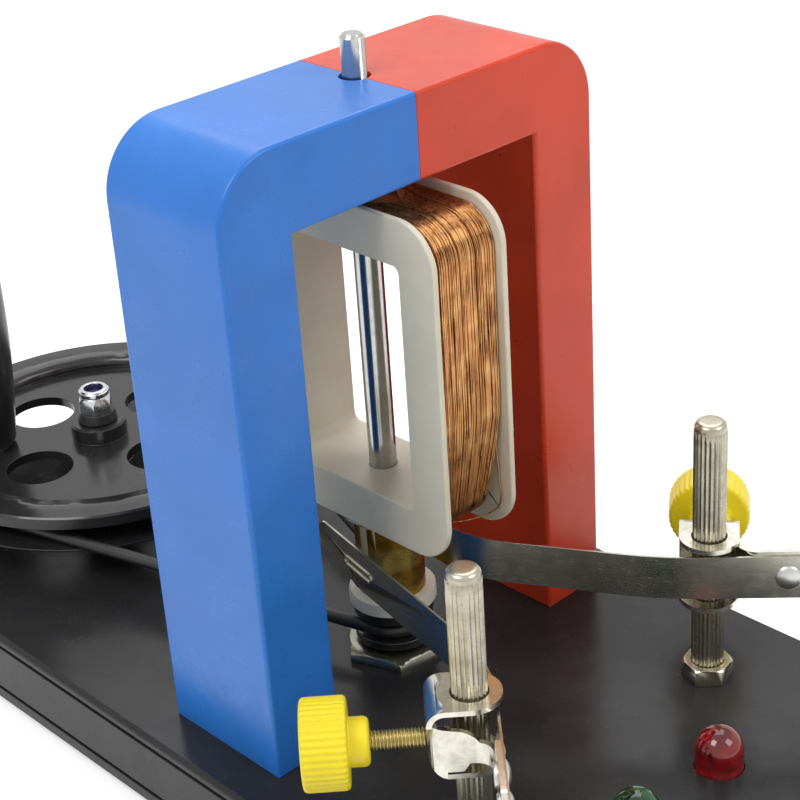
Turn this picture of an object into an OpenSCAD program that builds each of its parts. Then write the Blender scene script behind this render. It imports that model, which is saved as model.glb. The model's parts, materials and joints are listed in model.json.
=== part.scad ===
// Hand crank generator for classroom demonstrations.
// Origin: centre of the base, on the surface the feet stand on. +X towards the lamps,
// +Y towards the red arm of the magnet, +Z up. Millimetres.

/* [Base] */
// Length of the base, along X
base_l = 260; // [250:1:300]
// Width of the base, along Y
base_w = 120; // [116:1:150]
// Height of the base box without its feet
base_h = 19; // [18:0.5:30]
// Thickness of the side walls
base_wall = 2.4; // [1.6:0.1:4]
// Thickness of the deck
deck_t = 2.5; // [1.5:0.1:4]
// Thickness of the bottom cover
cover_t = 2; // [1.2:0.1:3]
// Depth of the two shadow lines round the side
groove_d = 0.8; // [0.3:0.1:1.2]
// Height of a shadow line
groove_h = 0.9; // [0.4:0.1:1.5]
// Height of a rubber foot
foot_h = 2.5; // [1:0.1:8]
// Diameter of a rubber foot
foot_d = 12; // [8:0.5:16]
// Distance of the feet from the ends of the base
foot_inset_x = 32; // [22:0.5:32]
// Distance of the feet from the sides of the base
foot_inset_y = 16; // [16:0.5:24]
// Diameter of the screws that hold the cover
cover_screw_d = 3; // [2:0.1:4]

/* [Magnet] */
// Width over both arms, along Y
mag_w = 100; // [96:1:112]
// Height above the deck
mag_h = 133.4; // [130:0.5:160]
// Thickness, along X
mag_t = 34; // [28:0.5:50]
// Width of one arm
arm_w = 17.2; // [16:0.1:17.6]
// Height of the bar over the rotor
bar_h = 18.2; // [15:0.1:24]
// Radius of the outer top corners
mag_corner_r = 14.3; // [8:0.1:16]
// Wall of the coloured casings
casing_t = 2.4; // [1.6:0.1:3]
// Height of the solid foot of each arm
arm_foot_h = 14; // [8:0.5:20]
// Thickness of the steel yoke inside
yoke_t = 4; // [2:0.1:5]
// Width of the steel yoke, along X
yoke_w = 24; // [18:0.5:28]
// Length by which each end of a pole magnet stops short of the bobbin's end
pole_end = 2.5; // [0:0.5:10]
// Diameter of the screws that hold the arms
arm_screw_d = 4; // [3:0.1:5]

/* [Rotor] */
// Diameter of the shaft
shaft_d = 6; // [5:0.1:6.4]
// Diameter of the two journals of the shaft
journal_d = 5; // [4:0.1:5]
// Height of the top journal above the magnet
shaft_top_h = 8.5; // [3:0.1:20]
// Running clearance of the journals, radial
journal_fit = 0.05; // [0.02:0.01:0.1]
// Gap between the bobbin and the magnet's bar
bobbin_gap = 3.7; // [2:0.1:6]
// Width of the bobbin, along X at rest
bobbin_w = 59.2; // [50:0.2:60]
// Depth over both flanges
bobbin_d = 20.4; // [20.4:0.1:21.4]
// Thickness of a flange
flange_t = 1.4; // [1:0.1:1.4]
// Corner radius of a flange
flange_r = 9.5; // [4:0.1:12]
// Width of a side of the frame, from rim to window
frame_side = 10; // [8:0.1:12]
// Thickness of the plastic web under the winding
web_t = 2.3; // [1.5:0.1:3]
// Depth of the winding below the rim of the flanges
winding_recess = 1.7; // [1:0.1:3]
// Thickness of the outer layers of wire
turns_t = 0.8; // [0.4:0.1:1.2]
// Height of the bobbin boss
boss_h = 2.5; // [1:0.1:4]
// Diameter of the bobbin boss
boss_d = 20; // [16:0.1:20.4]

/* [Commutator] */
// Diameter of the brass segments
comm_d = 15; // [13:0.1:16]
// Height of the brass segments
comm_h = 18; // [14:0.1:20]
// Wall of the brass segments
comm_wall = 2; // [1:0.1:2.4]
// Gap between the segments
comm_gap = 2.2; // [0.6:0.1:3]
// Diameter of the white disc
disc_d = 19.5; // [17:0.1:24]
// Thickness of the white disc
disc_t = 3.2; // [1.5:0.1:3.6]

/* [Drive] */
// Distance of the wheel's axle from the end of the base
wheel_inset = 37; // [30:0.5:44]
// Distance between the wheel axis and the rotor axis
drive_span = 110; // [106:0.5:120]
// Diameter of the wheel
wheel_d = 96; // [92:0.5:100]
// Height of the rim of the wheel
rim_h = 9.6; // [9:0.1:11]
// Width of the ring on top of the rim
rim_w = 10; // [9.6:0.1:12]
// Height of the wheel rim above the deck
wheel_lift = 8.9; // [7:0.1:12]
// Thickness of the web of the wheel
wheel_web_t = 2.4; // [2:0.1:3]
// Depth of the web below the top of the rim
web_sink = 2.9; // [2.4:0.1:4]
// Diameter of the round holes in the web
web_hole_d = 17; // [12:0.5:20]
// Radius of the circle of the holes
web_hole_r = 21.5; // [20:0.5:25]
// Diameter of the hub of the wheel
hub_d = 14.4; // [12:0.1:18]
// Diameter of the axle in the hub
axle_d = 8; // [6:0.1:9]
// Running clearance of wheel and handle, radial
axle_fit = 0.06; // [0.02:0.01:0.1]
// Thickness of the round belt
belt_d = 3; // [2:0.1:3]
// Radius of the belt's centre line on the wheel
belt_wheel_r = 41.2; // [40.6:0.1:42]
// Radius of the belt's centre line on the pulley
belt_pulley_r = 7.2; // [6.4:0.1:7.4]
// Air between the belt and the grooves
belt_air = 0.3; // [0.2:0.05:0.35]
// Diameter of the small pulley
pulley_d = 18; // [17:0.1:20]
// Height of the small pulley
pulley_h = 9.2; // [8.8:0.1:9.6]

/* [Handle] */
// Distance of the handle from the wheel axis
crank_r = 29.2; // [27:0.1:29.8]
// Length of the grip
grip_l = 60; // [45:1:80]
// Diameter of the grip at its foot
grip_foot_d = 15.6; // [12:0.1:16]
// Largest diameter of the grip
grip_d = 20.8; // [18:0.1:24]
// Diameter of the pin in the grip
pin_d = 6; // [5:0.1:7]

/* [Brushes] */
// Distance of the posts from the rotor axis, along X
post_dx = 60; // [57:0.5:64]
// Distance between the posts, along Y
post_span = 72; // [68:0.5:76]
// Diameter of a knurled post
post_d = 7; // [6:0.1:7.2]
// Height of a post above the deck
post_h = 62.6; // [45:0.2:80]
// Flutes of the knurling on a post
flutes = 22; // [12:1:30]
// Height of the top of the clamp ears above the deck
ear_top = 35.3; // [34:0.1:40]
// Height over both ears of a clamp
clamp_h = 15.4; // [14.6:0.1:16.4]
// Thickness of the clamp sheet
sheet_t = 1.1; // [0.6:0.05:1.2]
// Radius of an ear round the post
ear_r = 6.3; // [5.8:0.1:7.5]
// Distance of the clamp's back wall from the post axis
wall_u = 8.6; // [7.8:0.1:9.4]
// Length of the clamp's wing from the post axis
wing_l = 30; // [24:0.5:36]
// Direction of the clamping screw on the blue side, seen from above
blue_angle = 47.8; // [44:0.1:50]
// Direction of the clamping screw on the red side, seen from above
red_angle = 52.4; // [48:0.1:55]
// Angle by which the wing on the red side leans out of square
red_lean = 4.6; // [0:0.1:6]
// Height of a brush strip
strip_h = 10.1; // [8:0.1:10.6]
// Thickness of a brush strip
strip_t = 0.5; // [0.3:0.05:0.6]
// Distance of the strip from the post axis
strip_u = 5; // [4.8:0.05:5.2]
// Air between the brush on the red side and the commutator
brush_air = 0.2; // [0.1:0.05:0.5]
// Straight free length of the brush on the blue side
blue_free_l = 55; // [46:0.5:58]
// Diameter of a rivet head
rivet_d = 5.6; // [4:0.1:6.4]
// Diameter of the clamping screws
thumb_screw_d = 4; // [3:0.1:4.4]
// Diameter of the yellow knobs
knob_d = 18; // [14:0.1:19]
// Thickness of the yellow knobs
knob_t = 9; // [6:0.1:12]
// Ribs round a yellow knob
knob_ribs = 40; // [24:1:60]
// Free length of a clamping screw, between knob and clamp
screw_free_l = 10.7; // [8:0.1:14]

/* [Lamps] */
// Diameter of a lamp
lamp_d = 10; // [8:0.1:12]
// Height of a lamp above the deck
lamp_h = 9; // [7:0.1:12]
// Distance of the lamps from the end of the base
lamp_inset = 32; // [27:0.5:36]
// Distance between the lamps
lamp_span = 26; // [20:0.5:40]

/* [Fasteners under the deck] */
// Height of a nut under the deck
under_nut_h = 4; // [3:0.1:4]
// Width across flats of the nut on the bearing bush
bearing_nut_w = 17; // [16:0.1:19]
// Width across flats of the nuts on the wheel axle and the handle pin
axle_nut_w = 8; // [7.5:0.1:9]
// Width across flats of the nuts under the brush posts
post_under_w = 10; // [9:0.1:11]
// Thickness of a lamp's lead
lead_t = 0.5; // [0.4:0.1:0.7]
// Distance between the two leads of a lamp
lead_pitch = 2.54; // [2:0.01:3]
// Length of a lamp's lead under the lamp
lead_l = 8; // [4:0.5:8]

/* [Hidden] */
$fn = 64;
eps = 0.02;
deck_z = foot_h + base_h;
seat = 0.15;
wheel_x = wheel_inset - base_l / 2;
rotor_x = wheel_x + drive_span;
post_x = rotor_x + post_dx;
post_y = post_span / 2;
lamp_x = base_l / 2 - lamp_inset;

// Heights along the rotor, above the deck
hex_h = 2.4;
pulley_z = hex_h + 1.2;
disc_z = pulley_z + pulley_h;
comm_z = disc_z + disc_t;
boss_z = comm_z + comm_h;
bobbin_z = boss_z + boss_h;
bar_z = mag_h - bar_h;
bobbin_h = bar_z - bobbin_z - bobbin_gap;
pole_h = bobbin_h - 2 * pole_end;
bobbin_top = bobbin_z + bobbin_h;
bush_flange_h = 1.2;
shaft_step_z = bobbin_top + 1.5;

// Frame of the bobbin and its winding
window_w = bobbin_w - 2 * frame_side;
window_h = bobbin_h - 2 * frame_side - 0.5;
gap_d = bobbin_d - 2 * flange_t;
turns_w = bobbin_w - 2 * winding_recess;
turns_h = bobbin_h - 2 * winding_recess;
turns_r = flange_r - winding_recess;
core_w = turns_w - 2 * turns_t;
core_h = turns_h - 2 * turns_t;
core_d = gap_d - 2 * seat;
hub_tube_r = shaft_d / 2 + 1.1;

// Drive
rim_z = wheel_lift;
rim_top = rim_z + rim_h;
wheel_r = wheel_d / 2;
rim_in_r = wheel_r - rim_w;
web_top = rim_top - web_sink;
belt_r = belt_d / 2;
belt_wheel_z = rim_z + 0.36 * rim_h;
belt_pulley_z = pulley_z + 0.46 * pulley_h;
hub_top = rim_top + 1.1;
washer_h = 2.6;
nut_z = hub_top + 0.2 + washer_h;
crank_angle = 233;
hole_angle = 9;

// Brush clamps
ear_low = ear_top - clamp_h;
screw_z = ear_top - 10;
strip_mid = ear_top - 7.35;
hub_l = 4;
knob_u = wall_u + screw_free_l + hub_l;

function polar(r, a) = [r * cos(a), r * sin(a)];

// Toothed outline with n teeth between an inner and an outer radius
module toothed(n, r_in, r_out) {
    polygon([for (i = [0:2 * n - 1]) polar(i % 2 == 0 ? r_out : r_in, 180 * i / n)]);
}

// Regular hexagon bar by its width across flats
module hex_bar(across, h) {
    cylinder(d = across / cos(30), h = h, $fn = 6);
}

module hex_nut(across, h, bore) {
    difference() {
        intersection() {
            hex_bar(across, h);
            translate([0, 0, -across / 2 + h * 0.9])
                cylinder(d1 = across * 2.1, d2 = across * 0.98, h = across * 0.56);
        }
        translate([0, 0, -1]) cylinder(d = bore, h = h + 2);
    }
}

// Rectangle with round corners, centred
module round_rect(w, h, r) {
    union() {
        square([w - 2 * r, h], center = true);
        square([w, h - 2 * r], center = true);
        for (x = [-1, 1], y = [-1, 1])
            translate([x * (w / 2 - r), y * (h / 2 - r)]) circle(r = r);
    }
}

// Base.

cover_points = [for (x = [-1, 0, 1], y = [-1, 1])
    [x * (base_l / 2 - base_wall - 8), y * (base_w / 2 - base_wall - 7)]];
foot_points = [for (x = [-1, 1], y = [-1, 1])
    [x * (base_l / 2 - foot_inset_x), y * (base_w / 2 - foot_inset_y)]];
arm_points = [for (x = [-1, 1], y = [-1, 1])
    [rotor_x + x * mag_t / 4, y * (mag_w / 2 - arm_w / 2)]];
base_corner_r = 3;
cover_boss_d = cover_screw_d + 4.6;
thread_air = 0.1;

module shadow_line(z) {
    translate([0, 0, z]) difference() {
        translate([0, 0, groove_h / 2])
            cube([base_l + 2, base_w + 2, groove_h], center = true);
        linear_extrude(3 * groove_h, center = true)
            round_rect(base_l - 2 * groove_d, base_w - 2 * groove_d, base_corner_r - groove_d);
    }
}

module base_shell() {
    color([0.12, 0.12, 0.13]) difference() {
        translate([0, 0, foot_h])
            linear_extrude(base_h) round_rect(base_l, base_w, base_corner_r);
        difference() {
            translate([0, 0, foot_h - 1]) linear_extrude(base_h - deck_t + 1)
                round_rect(base_l - 2 * base_wall, base_w - 2 * base_wall, 1.5);
            for (p = cover_points) translate([p[0], p[1], foot_h + cover_t])
                cylinder(d = cover_boss_d, h = base_h);
        }
        shadow_line(deck_z - deck_t - groove_h + 0.3);
        shadow_line(foot_h + 3);
        for (p = cover_points) translate([p[0], p[1], foot_h])
            cylinder(d = cover_screw_d + 2 * thread_air, h = base_h - deck_t - 1);
        for (p = arm_points) translate([p[0], p[1], deck_z - deck_t - 1])
            cylinder(d = arm_screw_d + 2 * thread_air, h = deck_t + 2);
        translate([rotor_x, 0, deck_z - deck_t - 1])
            cylinder(d = bush_body_d + 2 * thread_air, h = deck_t + 2);
        translate([wheel_x, 0, deck_z - deck_t - 1])
            cylinder(d = axle_thread_d + 2 * thread_air, h = deck_t + 2);
        for (y = [-1, 1]) {
            translate([post_x, y * post_y, deck_z - deck_t - 1])
                cylinder(d = post_thread_d + 2 * thread_air, h = deck_t + 2);
            translate([lamp_x, y * lamp_span / 2, deck_z - deck_t - 1])
                cylinder(d = lamp_d + 2 * thread_air, h = deck_t + 2);
        }
    }
}

module base_cover() {
    air = 0.2;
    color([0.16, 0.16, 0.17]) translate([0, 0, foot_h]) difference() {
        linear_extrude(cover_t)
            round_rect(base_l - 2 * base_wall - 2 * air, base_w - 2 * base_wall - 2 * air, 1.3);
        for (p = cover_points) translate([p[0], p[1], -1])
            cylinder(d = cover_screw_d + 2 * thread_air, h = cover_t + 2);
        for (p = cover_points) translate([p[0], p[1], -1])
            cylinder(d = 2 * cover_screw_d, h = 1 + cover_t / 2);
    }
}

module cover_screws() {
    color([0.62, 0.62, 0.6]) for (p = cover_points)
        translate([p[0], p[1], foot_h]) difference() {
            union() {
                cylinder(d = 1.9 * cover_screw_d, h = cover_t / 2);
                cylinder(d = cover_screw_d, h = base_h - deck_t - 3);
            }
            for (a = [0, 90]) rotate(a)
                cube([cover_screw_d * 1.2, 0.6, 1.2], center = true);
        }
}

module rubber_feet() {
    color([0.07, 0.07, 0.07]) for (p = foot_points)
        translate([p[0], p[1], 0]) union() {
            cylinder(d1 = 0.92 * foot_d, d2 = foot_d, h = foot_h);
        }
}

// Magnet.

// Outline of one half of the arch, in Y and Z, grown inwards by a wall
module half_arch(inset, foot) {
    r = mag_corner_r - inset;
    difference() {
        union() {
            translate([inset - mag_w / 2, foot])
                square([arm_w - 2 * inset, mag_h - foot - inset - r]);
            translate([inset - mag_w / 2 + r, mag_h - bar_h + inset])
                square([mag_w / 2 - inset - r, bar_h - 2 * inset]);
            translate([inset - mag_w / 2, mag_h - inset - r])
                square([max(r, arm_w - 2 * inset), eps]);
            intersection() {
                translate([inset - mag_w / 2 + r, mag_h - inset - r]) circle(r = r);
                translate([inset - mag_w / 2, mag_h - inset - r]) square([r + eps, r]);
            }
            translate([inset - mag_w / 2 + r - eps, mag_h - bar_h + inset])
                square([arm_w - 2 * inset - r + eps, bar_h - 2 * inset]);
            translate([inset - mag_w / 2, mag_h - bar_h + inset])
                square([arm_w - 2 * inset, bar_h - 2 * inset - r + eps]);
        }
    }
}

module along_x(w) {
    rotate([90, 0, 90]) linear_extrude(w, center = true) children();
}

module casing_half(tint) {
    color(tint) translate([rotor_x, 0, deck_z]) difference() {
        along_x(mag_t) half_arch(0, 0);
        along_x(mag_t - 2 * casing_t) union() {
            half_arch(casing_t, arm_foot_h);
            translate([-casing_t, mag_h - bar_h + casing_t])
                square([2 * casing_t, bar_h - 2 * casing_t]);
        }
        translate([0, 0, bar_z - 1]) cylinder(d = bush_d + 0.2, h = casing_t + 2);
        translate([0, 0, mag_h - casing_t - 1])
            cylinder(d = journal_d + 1.4, h = casing_t + 2);
        for (x = [-1, 1])
            translate([x * mag_t / 4, arm_w / 2 - mag_w / 2, -1])
                cylinder(d = arm_screw_d + 2 * thread_air, h = arm_screw_l + 2);
    }
}

arm_screw_l = 10;
bush_d = journal_d + 4;
bush_body_d = journal_d + 7;
axle_thread_d = 5;
post_thread_d = 6;

module blue_casing() {
    casing_half([0.22, 0.47, 0.8]);
}

module red_casing() {
    translate([0, 0, 0]) mirror([0, 1, 0]) casing_half([0.78, 0.22, 0.17]);
}

// Steel arch that carries the flux behind the two pole magnets
module flux_yoke() {
    inset = casing_t + seat;
    low = arm_foot_h + seat;
    color([0.45, 0.46, 0.48]) translate([rotor_x, 0, deck_z]) difference() {
        along_x(yoke_w) difference() {
            round_top(mag_w / 2 - inset, low, mag_h - inset, mag_corner_r - inset);
            round_top(mag_w / 2 - inset - yoke_t, low - 1, mag_h - inset - yoke_t,
                max(1, mag_corner_r - inset - yoke_t));
        }
        translate([0, 0, bar_z]) cylinder(d = bush_d + 0.2, h = bar_h);
    }
}

// Upright block of half width w with round top corners, in Y and Z
module round_top(w, low, high, r) {
    union() {
        translate([-w, low]) square([2 * w, high - low - r]);
        translate([r - w, high - 2 * r]) square([2 * (w - r), 2 * r]);
        for (s = [-1, 1]) translate([s * (w - r), high - r]) circle(r = r);
    }
}

module pole_magnets() {
    pole_t = arm_w - 2 * casing_t - yoke_t - 3 * seat;
    color([0.2, 0.2, 0.21]) for (s = [-1, 1])
        translate([rotor_x - yoke_w / 2,
            s * (mag_w / 2 - casing_t - yoke_t - 2 * seat - pole_t / 2) - pole_t / 2,
            deck_z + bobbin_z + (bobbin_h - pole_h) / 2])
            cube([yoke_w, pole_t, pole_h]);
}

module arm_screws() {
    head_h = 2.6;
    color([0.62, 0.62, 0.6]) for (p = arm_points)
        translate([p[0], p[1], deck_z - deck_t - head_h]) difference() {
            union() {
                cylinder(d = 1.9 * arm_screw_d, h = head_h);
                cylinder(d = arm_screw_d, h = head_h + deck_t + arm_screw_l);
            }
            for (a = [0, 90]) rotate(a)
                cube([arm_screw_d, 0.8, 2.4], center = true);
        }
}

module top_bushing() {
    color([0.72, 0.58, 0.25]) translate([rotor_x, 0, deck_z]) difference() {
        union() {
            translate([0, 0, bar_z - bush_flange_h])
                cylinder(d = bush_d + 4, h = bush_flange_h);
            translate([0, 0, bar_z - eps])
                cylinder(d = bush_d, h = bar_h - casing_t - seat + eps);
        }
        translate([0, 0, bar_z - 5])
            cylinder(d = journal_d + 2 * journal_fit, h = bar_h + 10);
    }
}

// Bearing under the rotor.

bush_body_l = 12;
bush_hex = 21.4;
module bearing_bush() {
    color([0.35, 0.35, 0.36]) translate([rotor_x, 0, deck_z]) difference() {
        union() {
            rotate(20.5) hex_nut_top(bush_hex, hex_h);
            translate([0, 0, -bush_body_l]) cylinder(d = bush_body_d, h = bush_body_l + eps);
        }
        translate([0, 0, -bush_body_l + 2])
            cylinder(d = journal_d + 2 * journal_fit, h = bush_body_l + hex_h);
    }
}

// Hexagon head with its top corners turned off
module hex_nut_top(across, h) {
    intersection() {
        hex_bar(across, h);
        union() {
            cylinder(d = across * 1.2, h = h * 0.6);
            translate([0, 0, h * 0.6 - eps])
                cylinder(d1 = across * 1.2, d2 = across * 0.97, h = h * 0.4 + eps);
        }
    }
}

module bearing_locknut() {
    color([0.6, 0.6, 0.58]) translate([rotor_x, 0, deck_z - deck_t - under_nut_h])
        hex_nut(bearing_nut_w, under_nut_h, bush_body_d);
}

// Wheel axle.

axle_top = nut_z + 4.2;
module wheel_axle() {
    color([0.66, 0.66, 0.65]) translate([wheel_x, 0, deck_z]) union() {
        cylinder(d = 2 * axle_d, h = wheel_lift - 0.2);
        cylinder(d = axle_d, h = hub_top + 0.2);
        translate([0, 0, -deck_t - 6]) cylinder(d = axle_thread_d, h = axle_top + deck_t + 6);
    }
}

module axle_washer() {
    color([0.2, 0.2, 0.21]) translate([wheel_x, 0, deck_z + hub_top + 0.2]) difference() {
        cylinder(d1 = 10.2, d2 = 9.2, h = washer_h);
        translate([0, 0, -1]) cylinder(d = axle_thread_d + 2 * thread_air, h = washer_h + 2);
    }
}

locknut_h = 6.3;
module axle_locknut() {
    color([0.75, 0.75, 0.76]) translate([wheel_x, 0, deck_z + nut_z]) rotate(20) difference() {
        union() {
            hex_nut_top(8, 4.4);
            translate([0, 0, 3.6]) cylinder(d = 7.6, h = locknut_h - 4.2);
            translate([0, 0, locknut_h - 0.62]) cylinder(d1 = 7.6, d2 = 6.8, h = 0.62);
        }
        translate([0, 0, -1]) cylinder(d = axle_thread_d, h = locknut_h + 2);
        translate([0, 0, 4.3]) cylinder(d = 6.2, h = 1.4);
    }
}

module locknut_insert() {
    color([0.12, 0.14, 0.3]) translate([wheel_x, 0, deck_z + nut_z + 4.35]) difference() {
        cylinder(d = 6.1, h = 1.25);
        translate([0, 0, -1]) cylinder(d = axle_thread_d - 0.4, h = 4);
    }
}

module axle_undernut() {
    color([0.6, 0.6, 0.58]) translate([wheel_x, 0, deck_z - deck_t - under_nut_h])
        hex_nut(axle_nut_w, under_nut_h, axle_thread_d);
}

// Belt.

// The open belt: an arc on each pulley and two straight strands between them
belt_lean = asin((belt_wheel_r - belt_pulley_r) / drive_span);
arc_steps_wheel = 26;
arc_steps_pulley = 12;
strand_steps = 3;

function belt_wheel_arc() = [for (i = [0:arc_steps_wheel])
    let(a = 90 - belt_lean + i * (180 + 2 * belt_lean) / arc_steps_wheel)
    [wheel_x + belt_wheel_r * cos(a), belt_wheel_r * sin(a), belt_wheel_z]];
function belt_pulley_arc() = [for (i = [0:arc_steps_pulley])
    let(a = -90 + belt_lean + i * (180 - 2 * belt_lean) / arc_steps_pulley)
    [rotor_x + belt_pulley_r * cos(a), belt_pulley_r * sin(a), belt_pulley_z]];
function between(a, b, n) = [for (i = [1:n - 1]) a + (b - a) * i / n];
function belt_path() =
    let(w = belt_wheel_arc(), p = belt_pulley_arc())
    concat(w, between(w[arc_steps_wheel], p[0], strand_steps),
        p, between(p[arc_steps_pulley], w[0], strand_steps));

function unit(v) = v / norm(v);

// Closed tube round a loop of points, its rings kept level with Z
module loop_tube(path, r, sides) {
    n = len(path);
    rings = [for (i = [0:n - 1])
        let(t = unit(path[(i + 1) % n] - path[(i + n - 1) % n]),
            side = unit(cross(t, [0, 0, 1])), up = cross(side, t))
        for (k = [0:sides - 1])
            let(a = 360 * k / sides)
            path[i] + r * cos(a) * side + r * sin(a) * up];
    faces = [for (i = [0:n - 1], k = [0:sides - 1])
        let(j = (i + 1) % n, m = (k + 1) % sides)
        each [[i * sides + k, i * sides + m, j * sides + m],
            [i * sides + k, j * sides + m, j * sides + k]]];
    polyhedron(rings, faces, convexity = 6);
}

module drive_belt() {
    color([0.08, 0.08, 0.08]) translate([0, 0, deck_z])
        loop_tube(belt_path(), belt_r, 10);
}

// Posts and lamps.

module brush_posts() {
    color([0.78, 0.77, 0.72]) for (s = [-1, 1])
        translate([post_x, s * post_y, deck_z]) union() {
            translate([0, 0, -deck_t - 8]) cylinder(d = post_thread_d, h = deck_t + 8 + eps);
            linear_extrude(post_h - post_cap_h) toothed(flutes, post_d / 2 - 0.22, post_d / 2);
            rotate_extrude() intersection() {
                union() {
                    translate([0, post_h - post_cap_h - eps])
                        square([post_d / 2 - 0.12, post_cap_h - post_cap_r + eps]);
                    translate([0, post_h - post_cap_h - eps])
                        square([post_d / 2 - 0.12 - post_cap_r, post_cap_h + eps]);
                    translate([post_d / 2 - 0.12 - post_cap_r, post_h - post_cap_r])
                        circle(r = post_cap_r);
                }
                translate([0, post_h - post_cap_h - eps]) square([post_d, post_cap_h + eps]);
            }
        }
}

post_nut_w = 1.4 * post_d;
post_nut_h = 4;
post_cap_h = 2;
post_cap_r = 1.6;
module post_nuts() {
    color([0.75, 0.74, 0.7]) for (s = [-1, 1])
        translate([post_x, s * post_y, deck_z]) rotate(42.5)
            hex_nut(post_nut_w, post_nut_h, post_d);
}

module post_undernuts() {
    color([0.6, 0.6, 0.58]) for (s = [-1, 1])
        translate([post_x, s * post_y, deck_z - deck_t - under_nut_h])
            hex_nut(post_under_w, under_nut_h, post_thread_d);
}

lamp_flange_h = 1;
module lamp(tint, s) {
    dome_z = lamp_h - lamp_d / 2;
    color(tint) translate([lamp_x, s * lamp_span / 2, deck_z]) union() {
        translate([0, 0, dome_z]) intersection() {
            sphere(d = lamp_d);
            cylinder(d = lamp_d + 1, h = lamp_d);
        }
        translate([0, 0, -deck_t - lamp_flange_h])
            cylinder(d = lamp_d, h = deck_t + lamp_flange_h + dome_z + eps);
        translate([0, 0, -deck_t - lamp_flange_h])
            cylinder(d = lamp_d + 1.4, h = lamp_flange_h);
    }
}

module lamp_red() {
    lamp([0.62, 0.07, 0.09], 1);
}

module lamp_green() {
    lamp([0.1, 0.35, 0.2], -1);
}

module lamp_leads() {
    color([0.7, 0.7, 0.7]) for (s = [-1, 1], x = [-1, 1])
        translate([lamp_x + (x * lead_pitch - lead_t) / 2, (s * lamp_span - lead_t) / 2,
            deck_z - deck_t - lamp_flange_h - lead_l]) cube([lead_t, lead_t, lead_l]);
}

// Rotor.

module shaft() {
    tip = 0.7;
    top = mag_h + shaft_top_h;
    low = -bush_body_l + 2.3;
    color([0.68, 0.68, 0.67]) translate([rotor_x, 0, deck_z]) union() {
        translate([0, 0, low]) cylinder(d = journal_d, h = top - low - tip);
        translate([0, 0, top - tip - eps])
            cylinder(d1 = journal_d, d2 = journal_d - 1.8 * tip, h = tip + eps);
        translate([0, 0, hex_h + 0.3]) cylinder(d = shaft_d, h = shaft_step_z - hex_h - 0.3);
    }
}

// Upright plate in X and Z, middle at height z, from y to y + t
module upright(t, y) {
    translate([rotor_x, y + t, deck_z + bobbin_z + bobbin_h / 2])
        rotate([90, 0, 0]) linear_extrude(t) children();
}

module bobbin() {
    web_w = window_w + 2 * web_t;
    web_h = window_h + 2 * web_t;
    color([0.88, 0.87, 0.78]) difference() {
        union() {
            for (s = [-1, 1]) upright(flange_t, s * (bobbin_d - flange_t) / 2 - flange_t / 2)
                round_rect(bobbin_w, bobbin_h, flange_r);
            upright(bobbin_d - eps, -bobbin_d / 2 + eps / 2) round_rect(web_w, web_h, 1.5);
            translate([rotor_x, 0, deck_z + bobbin_z + winding_recess + 0.3])
                cylinder(r = hub_tube_r, h = bobbin_h - 2 * winding_recess - 0.6);
            intersection() {
                translate([rotor_x, 0, deck_z + boss_z]) union() {
                    cylinder(d1 = comm_d + 0.8, d2 = boss_d, h = boss_h);
                    translate([0, 0, boss_h - eps])
                        cylinder(d = boss_d, h = winding_recess - 0.6);
                }
                translate([rotor_x - boss_d, (eps - bobbin_d) / 2, deck_z])
                    cube([2 * boss_d, bobbin_d - eps, bobbin_top]);
            }
        }
        upright(bobbin_d + 2, -bobbin_d / 2 - 1) round_rect(window_w, window_h, 1.6);
        translate([rotor_x, 0, deck_z]) cylinder(d = shaft_d, h = bobbin_top + 5);
    }
}

// Band of wire between the flanges, parted round the hub tube of the bobbin
module wound_band(w, h, r, inner_w, inner_h, inner_r) {
    difference() {
        upright(core_d, -core_d / 2) difference() {
            round_rect(w, h, r);
            round_rect(inner_w, inner_h, inner_r);
        }
        translate([rotor_x, 0, deck_z]) cylinder(r = hub_tube_r + seat, h = bobbin_top + 5);
    }
}

module winding_core() {
    color([0.72, 0.42, 0.2])
        wound_band(core_w, core_h, turns_r - turns_t,
            window_w + 2 * web_t + 2 * seat, window_h + 2 * web_t + 2 * seat, 1.6);
}

module winding_turns() {
    color([0.8, 0.5, 0.25])
        wound_band(turns_w, turns_h, turns_r,
            core_w + 2 * seat, core_h + 2 * seat, turns_r - turns_t + seat);
}

module commutator_segments() {
    color([0.72, 0.55, 0.18]) translate([rotor_x, 0, deck_z + comm_z]) difference() {
        cylinder(d = comm_d, h = comm_h);
        translate([0, 0, -1]) cylinder(d = comm_d - 2 * comm_wall, h = comm_h + 2);
        translate([-comm_gap / 2, -comm_d, -1]) cube([comm_gap, 2 * comm_d, comm_h + 2]);
    }
}

module commutator_sleeve() {
    inner = comm_d / 2 - comm_wall;
    rib = comm_gap - 2 * 0.05;
    color([0.8, 0.79, 0.7]) translate([rotor_x, 0, deck_z + comm_z]) difference() {
        union() {
            cylinder(r = inner, h = comm_h);
            intersection() {
                translate([-rib / 2, -comm_d, 0]) cube([rib, 2 * comm_d, comm_h]);
                cylinder(d = comm_d - 0.16, h = comm_h);
            }
        }
        translate([0, 0, -1]) cylinder(d = shaft_d, h = comm_h + 2);
    }
}

module insulator_disc() {
    chamfer = 0.4;
    color([0.9, 0.89, 0.82]) translate([rotor_x, 0, deck_z + disc_z]) difference() {
        union() {
            cylinder(d = disc_d, h = disc_t - chamfer);
            translate([0, 0, disc_t - chamfer - eps])
                cylinder(d1 = disc_d, d2 = disc_d - 2 * chamfer, h = chamfer + eps);
        }
        translate([0, 0, -1]) cylinder(d = shaft_d, h = disc_t + 2);
    }
}

// Half section of a grooved wheel: floor radius, rim radius, belt height, mouth below, above
module groove_cut(floor_r, rim_r, z, half_w, low, high) {
    polygon([[floor_r, z - half_w], [rim_r + 1, z - low], [rim_r + 1, z + high],
        [floor_r, z + half_w]]);
}

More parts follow.
